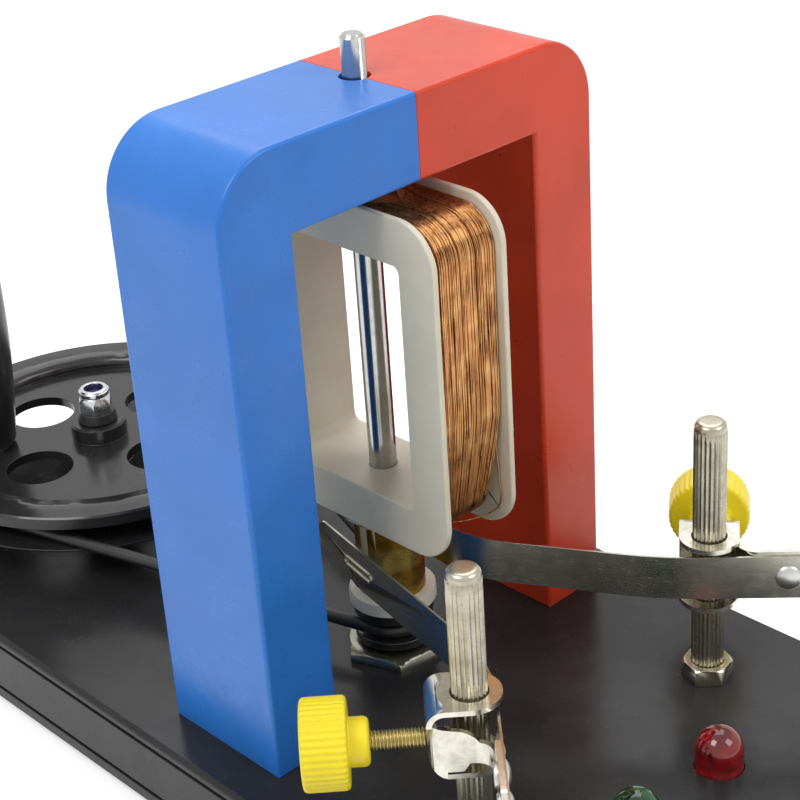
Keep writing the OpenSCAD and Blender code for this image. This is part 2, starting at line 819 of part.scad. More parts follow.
module rotor_pulley() {
    floor_r = belt_pulley_r - belt_r - belt_air;
    z = belt_pulley_z - pulley_z;
    half_w = belt_r + belt_air;
    color([0.1, 0.1, 0.1]) translate([rotor_x, 0, deck_z + pulley_z]) rotate_extrude() union() {
        difference() {
            translate([shaft_d / 2, 0]) square([pulley_d / 2 - shaft_d / 2, pulley_h]);
            groove_cut(floor_r, pulley_d / 2, z, half_w, half_w + 0.7, half_w + 0.7);
        }
        translate([shaft_d / 2, hex_h + 0.2 - pulley_z])
            square([1.6, pulley_z - hex_h - 0.2 + eps]);
    }
}

// Wheel and handle.

// Where a tilted strand leaves the rim, its height below the groove's middle
strand_drop = (belt_wheel_z - belt_pulley_z) * sqrt(wheel_r * wheel_r - belt_wheel_r * belt_wheel_r)
    / (drive_span * cos(belt_lean));

module wheel_section() {
    floor_r = belt_wheel_r - belt_r - belt_air;
    half_w = belt_r + belt_air;
    bore_r = axle_d / 2 + axle_fit;
    difference() {
        union() {
            translate([bore_r, rim_z]) square([hub_d / 2 - bore_r, hub_top - rim_z - 0.3]);
            translate([bore_r, hub_top - 0.3 - eps])
                square([hub_d / 2 - bore_r - 0.4, 0.3 + eps]);
            translate([bore_r, web_top - wheel_web_t])
                square([rim_in_r - bore_r + 1, wheel_web_t]);
            polygon([[rim_in_r, rim_z + 0.3], [rim_in_r + 0.3, rim_z], [wheel_r - 0.3, rim_z],
                [wheel_r, rim_z + 0.3], [wheel_r, rim_top - 0.5], [wheel_r - 0.5, rim_top],
                [rim_in_r + 4.4, rim_top], [rim_in_r, rim_top - 0.8]]);
        }
        groove_cut(floor_r, wheel_r, belt_wheel_z, half_w, half_w + strand_drop, half_w + 1.2);
    }
}

crank = polar(crank_r, crank_angle);
pin_thread_d = 5;

module drive_wheel() {
    color([0.11, 0.11, 0.12]) translate([wheel_x, 0, deck_z]) difference() {
        rotate_extrude($fn = 128) wheel_section();
        for (i = [0:3]) rotate(hole_angle + 90 * i)
            translate([web_hole_r, 0, web_top - wheel_web_t - 1])
                cylinder(d = web_hole_d, h = wheel_web_t + 2);
        translate([crank[0], crank[1], web_top - wheel_web_t - 1])
            cylinder(d = pin_thread_d + 2 * thread_air, h = wheel_web_t + 2);
    }
}

grip_z = web_top + 1.2;
grip_top = grip_z + grip_l;
pin_head_h = 3;
pin_head_sink = 5;
pin_head_z = grip_top - pin_head_sink + 0.2;
module handle_pin() {
    color([0.68, 0.68, 0.67]) translate([wheel_x + crank[0], crank[1], deck_z]) difference() {
        union() {
            translate([0, 0, web_top + 1]) cylinder(d = pin_d, h = pin_head_z - web_top - 1);
            translate([0, 0, web_top - wheel_web_t - 5])
                cylinder(d = pin_thread_d, h = wheel_web_t + 6 + eps);
            translate([0, 0, pin_head_z - eps]) cylinder(d = pin_d + 3.6, h = pin_head_h);
        }
        translate([0, 0, pin_head_z + pin_head_h - 1.2])
            cube([pin_d + 6, 1.2, 2.4], center = true);
    }
}

module pin_nut() {
    color([0.62, 0.62, 0.6])
        translate([wheel_x + crank[0], crank[1], deck_z + web_top - wheel_web_t - under_nut_h])
            hex_nut(axle_nut_w, under_nut_h, pin_thread_d);
}

module handle_washer() {
    color([0.65, 0.65, 0.64])
        translate([wheel_x + crank[0], crank[1], deck_z + web_top]) difference() {
            cylinder(d = pin_d + 6, h = 1);
            translate([0, 0, -1]) cylinder(d = pin_thread_d + 2 * thread_air, h = 3);
        }
}

// The grip swells upwards from its foot and closes in a round crown
function grip_r(t) =
    let(foot = grip_foot_d / 2, big = grip_d / 2, swell = foot + (big - foot) * sin(90 * min(1, t / 0.6)))
    t < 0.85 ? swell : big * sqrt(max(0, 1 - 0.55 * pow((t - 0.85) / 0.15, 2)));

module handle_grip() {
    steps = 20;
    bore = pin_d / 2 + axle_fit;
    head_r = (pin_d + 3.6) / 2 + 0.4;
    color([0.11, 0.11, 0.12]) translate([wheel_x + crank[0], crank[1], deck_z + grip_z])
        rotate_extrude() difference() {
            polygon(concat([[bore, 0]],
                [for (i = [0:steps]) [grip_r(i / steps), grip_l * i / steps]],
                [[bore, grip_l]]));
            translate([0, grip_l - pin_head_sink]) square([head_r, pin_head_sink + 1]);
        }
}

// Brush clamps, drawn round the post: the screw along X, the wing along -Y.

module at_post(side) {
    if (side < 0)
        translate([post_x, -post_y, deck_z]) rotate(blue_angle) children();
    else
        translate([post_x, post_y, deck_z]) mirror([0, 1, 0]) rotate(red_angle) children();
}

bend_r = 3.4;
bend_out = bend_r + sheet_t;
wing_u = strip_u - strip_t / 2 - sheet_t;
post_air = 0.3;
ear_bend = 2.4;
ear_out = ear_bend + sheet_t;
side_low = ear_low + sheet_t + 0.5;
side_top = ear_top - ear_out;
wing_top = ear_top - sheet_t - 0.3;
wing_low = strip_mid - strip_h / 2 + 0.4;

// Quarter of a bent sheet, its centre at the origin, in the corner -X -Y
module bend_quarter(inner, t) {
    difference() {
        intersection() {
            circle(r = inner + t);
            translate([-inner - t - 1, -inner - t - 1]) square(inner + t + 1 + eps);
        }
        circle(r = inner);
    }
}

module ear_plate() {
    difference() {
        union() {
            cylinder(r = ear_r, h = sheet_t);
            translate([ear_out - wall_u, -ear_r, 0])
                cube([wall_u - ear_out, 2 * ear_r, sheet_t]);
        }
        translate([0, 0, -1]) cylinder(d = post_d + 2 * post_air, h = sheet_t + 2);
    }
}

// Back wall of a clamp with the bend into each ear, drawn across the ears
module back_wall() {
    low = ear_low + ear_out;
    high = ear_top - ear_out;
    translate([0, ear_r, 0]) rotate([90, 0, 0]) union() {
        linear_extrude(2 * ear_r - bend_out) union() {
            translate([-wall_u, low - eps]) square([sheet_t, high - low + 2 * eps]);
            translate([ear_out - wall_u, low]) bend_quarter(ear_bend, sheet_t);
        }
        linear_extrude(2 * ear_r) translate([ear_out - wall_u, high]) mirror([0, 1])
            bend_quarter(ear_bend, sheet_t);
    }
}

// Plan of the sheet from the back wall round the corner, along the side and round the
// bend into the wing
module side_plan(lean) {
    mid = bend_r + sheet_t / 2;
    bend_v = -ear_r - bend_r;
    bend_u = (wing_u - bend_r + bend_v * sin(lean)) / cos(lean);
    points = chain([[eps, 0], [mid * PI / 2, 90], [bend_u + wall_u - bend_out, 0],
            [mid * PI * (90 + lean) / 180, -90 - lean],
            [wing_l + bend_u * sin(lean) + bend_v * cos(lean), 0]],
        [sheet_t / 2 - wall_u, bend_out - ear_r + eps, -90]);
    last = len(points) - 1;
    polygon(concat([for (p = points) beside(p, sheet_t / 2)],
        [for (i = [last:-1:0]) beside(points[i], -sheet_t / 2)]));
}

// Cuts the top of the side down, from under the ear's bend to the wing. A deep notch
// goes on over the wing's bend.
module side_notch(deep) {
    end = deep
        ? [[wing_u - 4.6, -1.7], [wing_u - 3.3, -2.7], [wing_u - 2.4, -3.8],
            [wing_u + 4, -3.8], [wing_u + 4, 9]]
        : [[wing_u - 5.2, -1.1], [wing_u - 4.7, -0.6], [wing_u - 4.5, 0.2], [wing_u - 4.4, 9]];
    translate([0, bend_out - ear_r + 0.5, 0]) rotate([90, 0, 0])
        linear_extrude(bend_out + bend_r + 0.6) translate([0, side_top])
            polygon(concat([[-wall_u - 3, 9], [-wall_u - 3, -0.7], [3.8 - wall_u, -0.7],
                [wing_u - 5.9, -1.1]], end));
}

// Cuts the foot of the side, round under the wall and with a slot over the lower ear
module side_foot() {
    at = [ear_out - wall_u, ear_low + ear_out];
    translate([0, bend_out - ear_r + 0.5, 0]) rotate([90, 0, 0])
        linear_extrude(bend_out + bend_r + 2)
            polygon(concat([[-wall_u - 3, 0], [-wall_u - 3, at[1]]],
                [for (a = [0:15:75]) at - ear_out * [cos(a), sin(a)]],
                [[at[0] + 0.1, ear_low], [at[0] + 0.1, side_low], [wing_u - 5.6, side_low],
                    [wing_u - 4.4, wing_low], [wing_u + 4, wing_low], [wing_u + 4, 0]]));
}

// Outline of the wing in Y and Z, with its top corner cut down to a deep notch
module wing_outline(deep) {
    corner = bend_r + ear_r;
    low = side_top - 3.8;
    cut = deep
        ? [[10, low], [-corner, low], [-corner - 1.6, low + 0.9], [-corner - 2.8, low + 2.6],
            [-corner - 3.6, low + 5], [-corner - 4, wing_top + 1]]
        : [[10, wing_top + 1]];
    intersection() {
        translate([5 - wing_l / 2, (wing_low + wing_top) / 2])
            round_rect(wing_l + 10, wing_top - wing_low, 2.5);
        polygon(concat([[-wing_l - 1, wing_top + 1], [-wing_l - 1, 0], [10, 0]], cut));
    }
}

// Cuts everything of the wing away that lies outside its outline
module wing_cut(deep) {
    translate([-5, 0, 0]) rotate([90, 0, 90]) linear_extrude(20) difference() {
        translate([-wing_l - 1, 0]) square([wing_l + 1 - bend_r - ear_r, ear_top + 1]);
        wing_outline(deep);
    }
}

module clamp_bracket(lean, deep) {
    color([0.78, 0.77, 0.73]) difference() {
        union() {
            translate([0, 0, ear_top - sheet_t]) ear_plate();
            translate([0, 0, ear_low]) ear_plate();
            back_wall();
            difference() {
                translate([0, 0, ear_low]) linear_extrude(wing_top - ear_low) side_plan(lean);
                side_notch(deep);
                side_foot();
                rotate(-lean) wing_cut(deep);
            }
        }
        translate([-wall_u - 1, 0, screw_z]) rotate([0, 90, 0])
            cylinder(d = thumb_screw_d + 2 * screw_air, h = sheet_t + 2);
        rotate(-lean) for (v = rivet_v) translate([wing_u - 1, -v, strip_mid])
            rotate([0, 90, 0]) cylinder(d = rivet_shank_d, h = sheet_t + 2);
    }
}

screw_air = 0.06;
rivet_v = [16, 25];
rivet_shank_d = 2.4;

// A strip is a chain of runs: [length, turn] with the turn in degrees, 0 for straight.
// Its points along the middle are [x, y, heading], an arc in steps of about 2 degrees.
function run_on(at, l, a) =
    a == 0 ? at + [l * cos(at[2]), l * sin(at[2]), 0]
    : let(r = l * 180 / (PI * a))
        at + [r * (sin(at[2] + a) - sin(at[2])), r * (cos(at[2]) - cos(at[2] + a)), a];
function chain(runs, at = [0, 0, 0], i = 0) =
    i == len(runs) ? [at]
    : let(l = runs[i][0], a = runs[i][1], n = max(1, ceil(abs(a) / 2)))
        concat([for (k = [0:n - 1]) run_on(at, l * k / n, a * k / n)],
            chain(runs, run_on(at, l, a), i + 1));
function beside(p, d) = [p[0] - d * sin(p[2]), p[1] + d * cos(p[2])];

module strip_prism(runs) {
    points = chain(runs);
    last = len(points) - 1;
    translate([0, 0, -strip_h / 2]) linear_extrude(strip_h)
        polygon(concat([for (p = points) beside(p, strip_t / 2)],
            [for (i = [last:-1:0]) beside(points[i], -strip_t / 2)]));
}

module at_free_end(runs) {
    points = chain(runs);
    end = points[len(points) - 1];
    translate([end[0], end[1], 0]) rotate(end[2]) children();
}

// Side view of the free end, its lower edge cut upwards to a round tip
module tip_prism() {
    r = (strip_h - tip_cut_h) / 2;
    rise = tip_cut_h / (tip_cut_l - r);
    rotate([90, 0, 0]) linear_extrude(150, center = true)
        polygon(concat([[-200, strip_h / 2 + 1], [-200, -strip_h / 2 - 1],
                [-tip_cut_l - 1 / rise, -strip_h / 2 - 1]],
            [for (a = [-90:10:80]) [-r, strip_h / 2 - r] + polar(r, a)],
            [[-r - 1, strip_h / 2 + 1]]));
}

// Pressed bead near the free end of a strip
module strip_bead() {
    translate([-bead_end - bead_l, strip_t / 2 + 0.3, 0]) rotate([90, 0, 0])
        linear_extrude(0.3 + eps) difference() {
            bead_outline(bead_h / 2);
            bead_outline(bead_h / 2 - 0.35);
        }
}

bead_l = 9;
bead_h = 2.3;
bead_end = 12;
tip_cut_l = 15;
tip_cut_h = 4.4;

module bead_outline(r) {
    union() {
        translate([0, -r]) square([bead_l, 2 * r]);
        circle(r = r);
        translate([bead_l, 0]) circle(r = r);
    }
}

// Runs of the two strips from the tail of the wing to the free end. On the red side the
// last bend has the radius red_bend_r and rests with its outside against the commutator.
blue_runs = [[wing_l, 0], [24, 30], [blue_free_l, 0]];
red_lead = 20;
red_lead_a = 13;
red_bend_r = 30;
lead_r = red_lead * 180 / (PI * red_lead_a);
strip_angle = red_angle - red_lean;
comm_at = [post_y * sin(strip_angle) - post_dx * cos(strip_angle),
    post_dx * sin(strip_angle) + post_y * cos(strip_angle)];
bend_dir = [-sin(red_lead_a), cos(red_lead_a)];
bend_from = [strip_u + lead_r * (cos(red_lead_a) - 1), lead_r * sin(red_lead_a)]
    - red_bend_r * [cos(red_lead_a), sin(red_lead_a)] - comm_at;
touch_r = red_bend_r + (comm_d + strip_t) / 2 + brush_air;
bend_along = -bend_from * bend_dir;
red_straight = bend_along
    - sqrt(bend_along * bend_along - bend_from * bend_from + touch_r * touch_r);
bend_centre = bend_from + red_straight * bend_dir;
touch_a = atan2(-bend_centre[1], -bend_centre[0]);
red_bend_a = touch_a + 20 - red_lead_a;
red_runs = [[wing_l, 0], [red_lead, red_lead_a], [red_straight, 0],
    [red_bend_a * PI * red_bend_r / 180, red_bend_a], [1.5, 0]];

module strip_body(runs, cut) {
    difference() {
        translate([strip_u, -wing_l, strip_mid]) rotate(90) union() {
            if (cut) {
                intersection() {
                    strip_prism(runs);
                    at_free_end(runs) tip_prism();
                }
                at_free_end(runs) strip_bead();
            } else {
                strip_prism(runs);
            }
        }
        for (v = rivet_v) translate([strip_u - 2, -v, strip_mid]) rotate([0, 90, 0])
            cylinder(d = rivet_shank_d, h = 4);
    }
}

module rivets() {
    back = wing_u;
    front = strip_u + strip_t / 2;
    color([0.72, 0.72, 0.71]) for (v = rivet_v)
        translate([0, -v, strip_mid]) rotate([0, 90, 0]) union() {
            translate([0, 0, back - 0.6]) cylinder(d = rivet_d - 0.6, h = 0.6);
            translate([0, 0, back - eps]) cylinder(d = rivet_shank_d, h = front - back + 2 * eps);
            translate([0, 0, front]) cylinder(d1 = rivet_d, d2 = rivet_d - 1.8, h = 1.3);
        }
}

module clamp_screw() {
    tip = post_d / 2 + 0.15;
    color([0.72, 0.66, 0.38]) translate([-knob_u - knob_t + 2, 0, screw_z]) rotate([0, 90, 0])
        cylinder(d = thumb_screw_d, h = knob_u + knob_t - 2 - tip);
}

module knob() {
    edge = 0.9;
    color([0.93, 0.86, 0.12]) translate([-knob_u - knob_t, 0, screw_z]) rotate([0, 90, 0])
        difference() {
            union() {
                intersection() {
                    linear_extrude(knob_t) toothed(knob_ribs, knob_d / 2 - 0.35, knob_d / 2);
                    union() {
                        cylinder(d1 = knob_d - 2 * edge, d2 = knob_d + 0.1, h = edge);
                        translate([0, 0, edge - eps])
                            cylinder(d = knob_d + 0.1, h = knob_t - 2 * edge + 2 * eps);
                        translate([0, 0, knob_t - edge])
                            cylinder(d1 = knob_d + 0.1, d2 = knob_d - 2 * edge, h = edge);
                    }
                }
                cylinder(d = 9.6, h = knob_t + hub_l - 0.6);
                translate([0, 0, knob_t + hub_l - 0.6 - eps])
                    cylinder(d1 = 9.6, d2 = 8.4, h = 0.6 + eps);
            }
            translate([0, 0, 2]) cylinder(d = thumb_screw_d, h = knob_t + hub_l);
        }
}

module clamp_blue_side() { at_post(-1) clamp_bracket(0, true); }
module strip_blue_side() { color([0.55, 0.55, 0.56]) at_post(-1) strip_body(blue_runs, true); }
module rivets_blue_side() { at_post(-1) rivets(); }
module screw_blue_side() { at_post(-1) clamp_screw(); }
module knob_blue_side() { at_post(-1) knob(); }
module clamp_red_side() { at_post(1) clamp_bracket(red_lean, false); }
module strip_red_side() {
    color([0.55, 0.55, 0.56]) at_post(1) rotate(-red_lean) strip_body(red_runs, false);
}
module rivets_red_side() { at_post(1) rotate(-red_lean) rivets(); }
module screw_red_side() { at_post(1) clamp_screw(); }
module knob_red_side() { at_post(1) knob(); }

base_shell();
base_cover();
rubber_feet();
cover_screws();
blue_casing();
red_casing();
flux_yoke();
pole_magnets();
arm_screws();
top_bushing();
bearing_bush();
bearing_locknut();
wheel_axle();
axle_washer();
axle_locknut();
locknut_insert();
axle_undernut();
drive_belt();
brush_posts();
post_nuts();
post_undernuts();
lamp_red();
lamp_green();
lamp_leads();
shaft();
bobbin();
winding_core();
winding_turns();
commutator_segments();
commutator_sleeve();
insulator_disc();
rotor_pulley();
drive_wheel();
handle_pin();
pin_nut();
handle_washer();
handle_grip();
clamp_blue_side();
strip_blue_side();
rivets_blue_side();
screw_blue_side();
knob_blue_side();
clamp_red_side();
strip_red_side();
rivets_red_side();
screw_red_side();
knob_red_side();
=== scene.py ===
"""Hand crank generator for science lessons, dressed for rendering.

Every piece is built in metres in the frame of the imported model: +X runs along the base from
the drive wheel towards the lamps, +Y towards the red arm of the magnet and +Z up. Sizes in
the classes below are in millimetres and are turned into metres where a mesh is written.
"""

import json
import logging
import math
from dataclasses import dataclass
from enum import Enum
from typing import Any, Callable

import bmesh
import bpy
import numpy as np
from mathutils import Matrix, Vector

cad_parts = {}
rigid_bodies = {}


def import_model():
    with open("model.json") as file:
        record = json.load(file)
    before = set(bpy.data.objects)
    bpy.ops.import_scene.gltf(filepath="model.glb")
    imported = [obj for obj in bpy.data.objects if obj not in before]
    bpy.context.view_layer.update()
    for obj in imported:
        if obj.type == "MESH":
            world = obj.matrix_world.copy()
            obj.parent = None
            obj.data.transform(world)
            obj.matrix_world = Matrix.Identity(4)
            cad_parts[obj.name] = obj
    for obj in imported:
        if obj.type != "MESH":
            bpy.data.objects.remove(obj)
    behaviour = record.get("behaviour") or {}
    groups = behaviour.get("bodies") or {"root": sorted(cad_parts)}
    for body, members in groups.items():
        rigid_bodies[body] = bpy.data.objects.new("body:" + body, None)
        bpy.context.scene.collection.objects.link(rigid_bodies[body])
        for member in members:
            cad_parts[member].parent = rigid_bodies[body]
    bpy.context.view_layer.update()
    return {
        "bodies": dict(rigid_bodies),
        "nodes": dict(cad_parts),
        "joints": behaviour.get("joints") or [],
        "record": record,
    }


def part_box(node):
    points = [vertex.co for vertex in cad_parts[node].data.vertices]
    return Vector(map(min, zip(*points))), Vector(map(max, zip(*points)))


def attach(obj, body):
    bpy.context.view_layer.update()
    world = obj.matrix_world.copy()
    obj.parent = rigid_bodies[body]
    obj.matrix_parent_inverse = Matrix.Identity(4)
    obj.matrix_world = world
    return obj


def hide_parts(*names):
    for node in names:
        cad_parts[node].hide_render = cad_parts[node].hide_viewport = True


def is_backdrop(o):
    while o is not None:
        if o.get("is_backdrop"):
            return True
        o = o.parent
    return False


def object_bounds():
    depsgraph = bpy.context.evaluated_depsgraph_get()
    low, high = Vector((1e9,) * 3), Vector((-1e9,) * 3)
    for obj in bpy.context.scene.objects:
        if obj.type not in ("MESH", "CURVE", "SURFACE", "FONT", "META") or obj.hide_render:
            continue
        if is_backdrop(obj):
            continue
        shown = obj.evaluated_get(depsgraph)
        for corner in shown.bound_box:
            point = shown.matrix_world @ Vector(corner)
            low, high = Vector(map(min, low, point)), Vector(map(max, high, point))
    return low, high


log = logging.getLogger("generator")

MM = 0.001
SENSOR = 36.0  # width of the camera's sensor in millimetres
NEAR = 0.05  # millimetres within which an edge lies on a side of a node's box
MERGE = 2e-6  # metres within which the points of a copied node are joined
FLAT_ANGLE = 0.4  # degrees under which two faces of a copied node count as one
SHARP_ANGLE = 30.0  # degrees over which an edge of a copied node is rounded
WHITE = (1.0, 1.0, 1.0, 1.0)

Colour = tuple[float, float, float]
Point = tuple[float, float, float]
Span = tuple[float, float]
Socket = bpy.types.NodeSocket
Inputs = dict[str | int, Any]


class Side(Enum):
    """The two sides of the generator, named by the colour of the magnet's arm there."""

    BLUE = -1
    RED = 1

    @property
    def word(self) -> str:
        """Word that the side's nodes and pieces carry in their names."""
        return self.name.lower()


# Materials


def linear(colour: Colour) -> tuple[float, float, float, float]:
    """Turns a colour from 0 to 1, as it is seen on a screen, into scene light with alpha 1."""
    c = np.asarray(colour, float)
    light = np.where(c <= 0.04045, c / 12.92, ((c + 0.055) / 1.055) ** 2.4)
    return (float(light[0]), float(light[1]), float(light[2]), 1.0)


class Tree:
    """Node tree of a material or of the world."""

    def __init__(self, owner: bpy.types.Material | bpy.types.World) -> None:
        """Empties the node tree of its owner."""
        owner.use_nodes = True
        self.tree = owner.node_tree
        self.tree.nodes.clear()

    def fill(self, node: bpy.types.Node, inputs: Inputs) -> None:
        """Links or sets the inputs of a node.

        Args:
            node: The node.
            inputs: Socket or plain value by the name or number of an input.
        """
        for name, value in inputs.items():
            if isinstance(value, Socket):
                self.tree.links.new(value, node.inputs[name])
            else:
                node.inputs[name].default_value = value

    def add(self, kind: str, inputs: Inputs | None = None, **settings: str) -> bpy.types.Node:
        """Adds a node.

        Args:
            kind: Type of the node, without its first word.
            inputs: Socket or plain value by the name or number of an input.
            settings: The node's own settings by name.

        Returns:
            The node.
        """
        node = self.tree.nodes.new(f"ShaderNode{kind}")
        for name, value in settings.items():
            setattr(node, name, value)
        self.fill(node, inputs or {})
        return node

    def math(self, operation: str, a: Socket, b: Socket | float) -> Socket:
        """Joins two values by an operation of the Math node."""
        return self.add("Math", {0: a, 1: b}, operation=operation).outputs["Value"]


class Recipe(Tree):
    """Material with one Principled shader, and short calls for the nodes of the finishes."""

    def __init__(self, name: str) -> None:
        """Starts a material of that name."""
        self.material = bpy.data.materials.new(name)
        super().__init__(self.material)
        self.shader = self.add("BsdfPrincipled")
        self.add("OutputMaterial", {"Surface": self.shader.outputs["BSDF"]})
        self.place = self.add("TexCoord").outputs["Object"]

    def set(self, **values: float | Socket) -> None:
        """Writes the shader's inputs, named with underscores for spaces."""
        self.fill(self.shader, {name.replace("_", " "): v for name, v in values.items()})

    def stretched(self, scale: Point) -> Socket:
        """Object coordinates stretched by a factor along each axis."""
        return self.add("Mapping", {"Vector": self.place, "Scale": scale}).outputs["Vector"]

    def noise(self, size_mm: float, detail: float = 2.0, rough: float = 0.5,
              place: Socket | None = None) -> Socket:
        """Cloudy noise around 0.5.

        Args:
            size_mm: Size of a lump in millimetres.
            detail: Octaves of finer noise.
            rough: Share that each finer octave adds.
            place: Vector to read, or None for Object coordinates.

        Returns:
            The socket of the value.
        """
        return self.add("TexNoise", {"Scale": 1.0 / (size_mm * MM), "Detail": detail,
                                     "Roughness": rough,
                                     "Vector": place or self.place}).outputs["Fac"]

    def rescale(self, value: Socket, old: Span, new: Span) -> Socket:
        """Carries a value from one range to another and clamps it there."""
        return self.add("MapRange", {"From Min": old[0], "From Max": old[1], "To Min": new[0],
                                     "To Max": new[1], "Value": value}).outputs["Result"]

    def blend(self, low: Colour | Socket, high: Colour, share: Socket) -> Socket:
        """Mixes a displayed colour or a colour socket with a colour by a value."""
        under = low if isinstance(low, Socket) else linear(low)
        return self.add("Mix", {6: under, 7: linear(high), 0: share}, data_type="RGBA").outputs[2]

    def emboss(self, *heights: tuple[Socket, float]) -> None:
        """Chains bumps into the shader's normal.

        Args:
            heights: Pairs of a height socket from 0 to 1 and its depth in millimetres.
        """
        normal: Inputs = {}
        for height, depth in heights:
            bump = self.add("Bump", {"Strength": 1.0, "Distance": depth * MM, "Height": height,
                                     **normal})
            normal = {"Normal": bump.outputs["Normal"]}
        self.fill(self.shader, normal)


@dataclass(frozen=True)
class Plastic:
    """Moulded plastic: cloudy tone, fine grain, soft waves and a few rubbed patches."""

    name: str
    colour: Colour
    roughness: float
    tone: float = 0.05
    grain: float = 0.006
    grain_size: float = 0.35
    wave: float = 0.02
    dust: float = 0.0
    dust_colour: Colour = (0.7, 0.69, 0.66)
    subsurface: float = 0.0
    gloss: float = 0.5

    def make(self) -> bpy.types.Material:
        """Builds the material."""
        recipe = Recipe(self.name)
        dark = tuple(c * (1 - self.tone) for c in self.colour)
        pale = tuple(min(1.0, c * (1 + self.tone) + 0.1 * self.tone) for c in self.colour)
        cloud = recipe.rescale(recipe.noise(22, 3, 0.55), (0.3, 0.7), (0, 1))
        colour = recipe.blend(dark, pale, cloud)
        if self.dust:
            specks = recipe.rescale(recipe.noise(0.5, 1, 0.4), (0.7, 0.78), (0, self.dust))
            patches = recipe.rescale(recipe.noise(14, 2), (0.45, 0.7), (0, 1))
            colour = recipe.blend(colour, self.dust_colour,
                                  recipe.math("MULTIPLY", specks, patches))
        spread = (max(0.04, self.roughness - 0.06), min(1.0, self.roughness + 0.09))
        rubbed = recipe.rescale(recipe.noise(9, 4, 0.65), (0.3, 0.75), spread)
        recipe.set(Base_Color=colour, Roughness=rubbed, IOR=1.49, Specular_IOR_Level=self.gloss,
                   Subsurface_Weight=self.subsurface, Subsurface_Scale=0.0015)
        recipe.emboss((recipe.noise(16, 1, 0.4), self.wave),
                      (recipe.noise(self.grain_size, 2, 0.6), self.grain))
        return recipe.material


@dataclass(frozen=True)
class Metal:
    """Worked metal: tool marks along one axis, tarnish clouds and fine pits."""

    name: str
    colour: Colour
    roughness: float
    tarnish: Colour
    tarnish_share: float = 0.35
    marks: Point = (1.0, 1.0, 12.0)
    mark_depth: float = 0.004
    mark_size: float = 1.2
    pit_depth: float = 0.0012
    coat: float = 0.0

    def make(self) -> bpy.types.Material:
        """Builds the material."""
        recipe = Recipe(self.name)
        cloud = recipe.rescale(recipe.noise(3.5, 4, 0.62), (0.42, 0.72), (0, self.tarnish_share))
        tooling = recipe.noise(self.mark_size, 3, 0.6, recipe.stretched(self.marks))
        fine = recipe.rescale(tooling, (0.25, 0.75), (-0.04, 0.05))
        broad = recipe.rescale(cloud, (0, 1), (self.roughness, self.roughness + 0.16))
        recipe.set(Base_Color=recipe.blend(self.colour, self.tarnish, cloud),
                   Roughness=recipe.math("ADD", fine, broad), Metallic=1.0,
                   Coat_Weight=self.coat)
        recipe.emboss((tooling, self.mark_depth), (recipe.noise(0.25, 2, 0.5), self.pit_depth))
        return recipe.material


@dataclass(frozen=True)
class Rubber:
    """Black rubber: matt, with a fine grain and a little pale bloom."""

    name: str
    colour: Colour
    roughness: float
    bloom: Colour = (0.34, 0.34, 0.34)
    grain: float = 0.01

    def make(self) -> bpy.types.Material:
        """Builds the material."""
        recipe = Recipe(self.name)
        cloud = recipe.rescale(recipe.noise(5, 4, 0.6), (0.5, 0.8), (0, 0.3))
        recipe.set(Base_Color=recipe.blend(self.colour, self.bloom, cloud),
                   Roughness=recipe.rescale(cloud, (0, 0.3),
                                            (self.roughness, self.roughness + 0.15)))
        recipe.emboss((recipe.noise(0.3, 2, 0.6), self.grain))
        return recipe.material


@dataclass(frozen=True)
class Lens:
    """Tinted clear resin of a lamp, with a cloudy depth and slight flow lines."""

    name: str
    colour: Colour
    deep: Colour
    clear: float = 0.55
    flow: float = 0.012

    def make(self) -> bpy.types.Material:
        """Builds the material."""
        recipe = Recipe(self.name)
        cloud = recipe.rescale(recipe.noise(4, 2, 0.5), (0.35, 0.65), (0, 1))
        recipe.set(Base_Color=recipe.blend(self.colour, self.deep, cloud),
                   Roughness=recipe.rescale(recipe.noise(3, 2), (0.3, 0.7), (0.05, 0.1)),
                   Transmission_Weight=self.clear, IOR=1.5, Coat_Weight=0.3,
                   Coat_Roughness=0.03)
        recipe.emboss((recipe.noise(2.5, 1, 0.4), self.flow))
        return recipe.material


@dataclass(frozen=True)
class EnamelledCopper:
    """Copper wire under clear enamel, its tone changing from strand to strand."""

    name: str
    colour: Colour
    dark: Colour
    pale: Colour
    roughness: float
    grain: float = 0.006

    def make(self) -> bpy.types.Material:
        """Builds the material."""
        recipe = Recipe(self.name)
        along = recipe.noise(1.1, 3, 0.6, recipe.stretched((1.0, 1.0, 0.16)))
        across = recipe.noise(5.0, 2, 0.5)
        base = recipe.blend(self.dark, self.colour, recipe.rescale(along, (0.28, 0.55), (0, 1)))
        pale = recipe.rescale(across, (0.5, 0.72), (0, 0.7))
        recipe.set(Base_Color=recipe.blend(base, self.pale, pale),
                   Roughness=recipe.rescale(along, (0.3, 0.7),
                                            (self.roughness, self.roughness + 0.14)),
                   Metallic=0.92, Coat_Weight=0.35, Coat_Roughness=0.16)
        recipe.emboss((recipe.noise(0.4, 2, 0.5), self.grain))
        return recipe.material


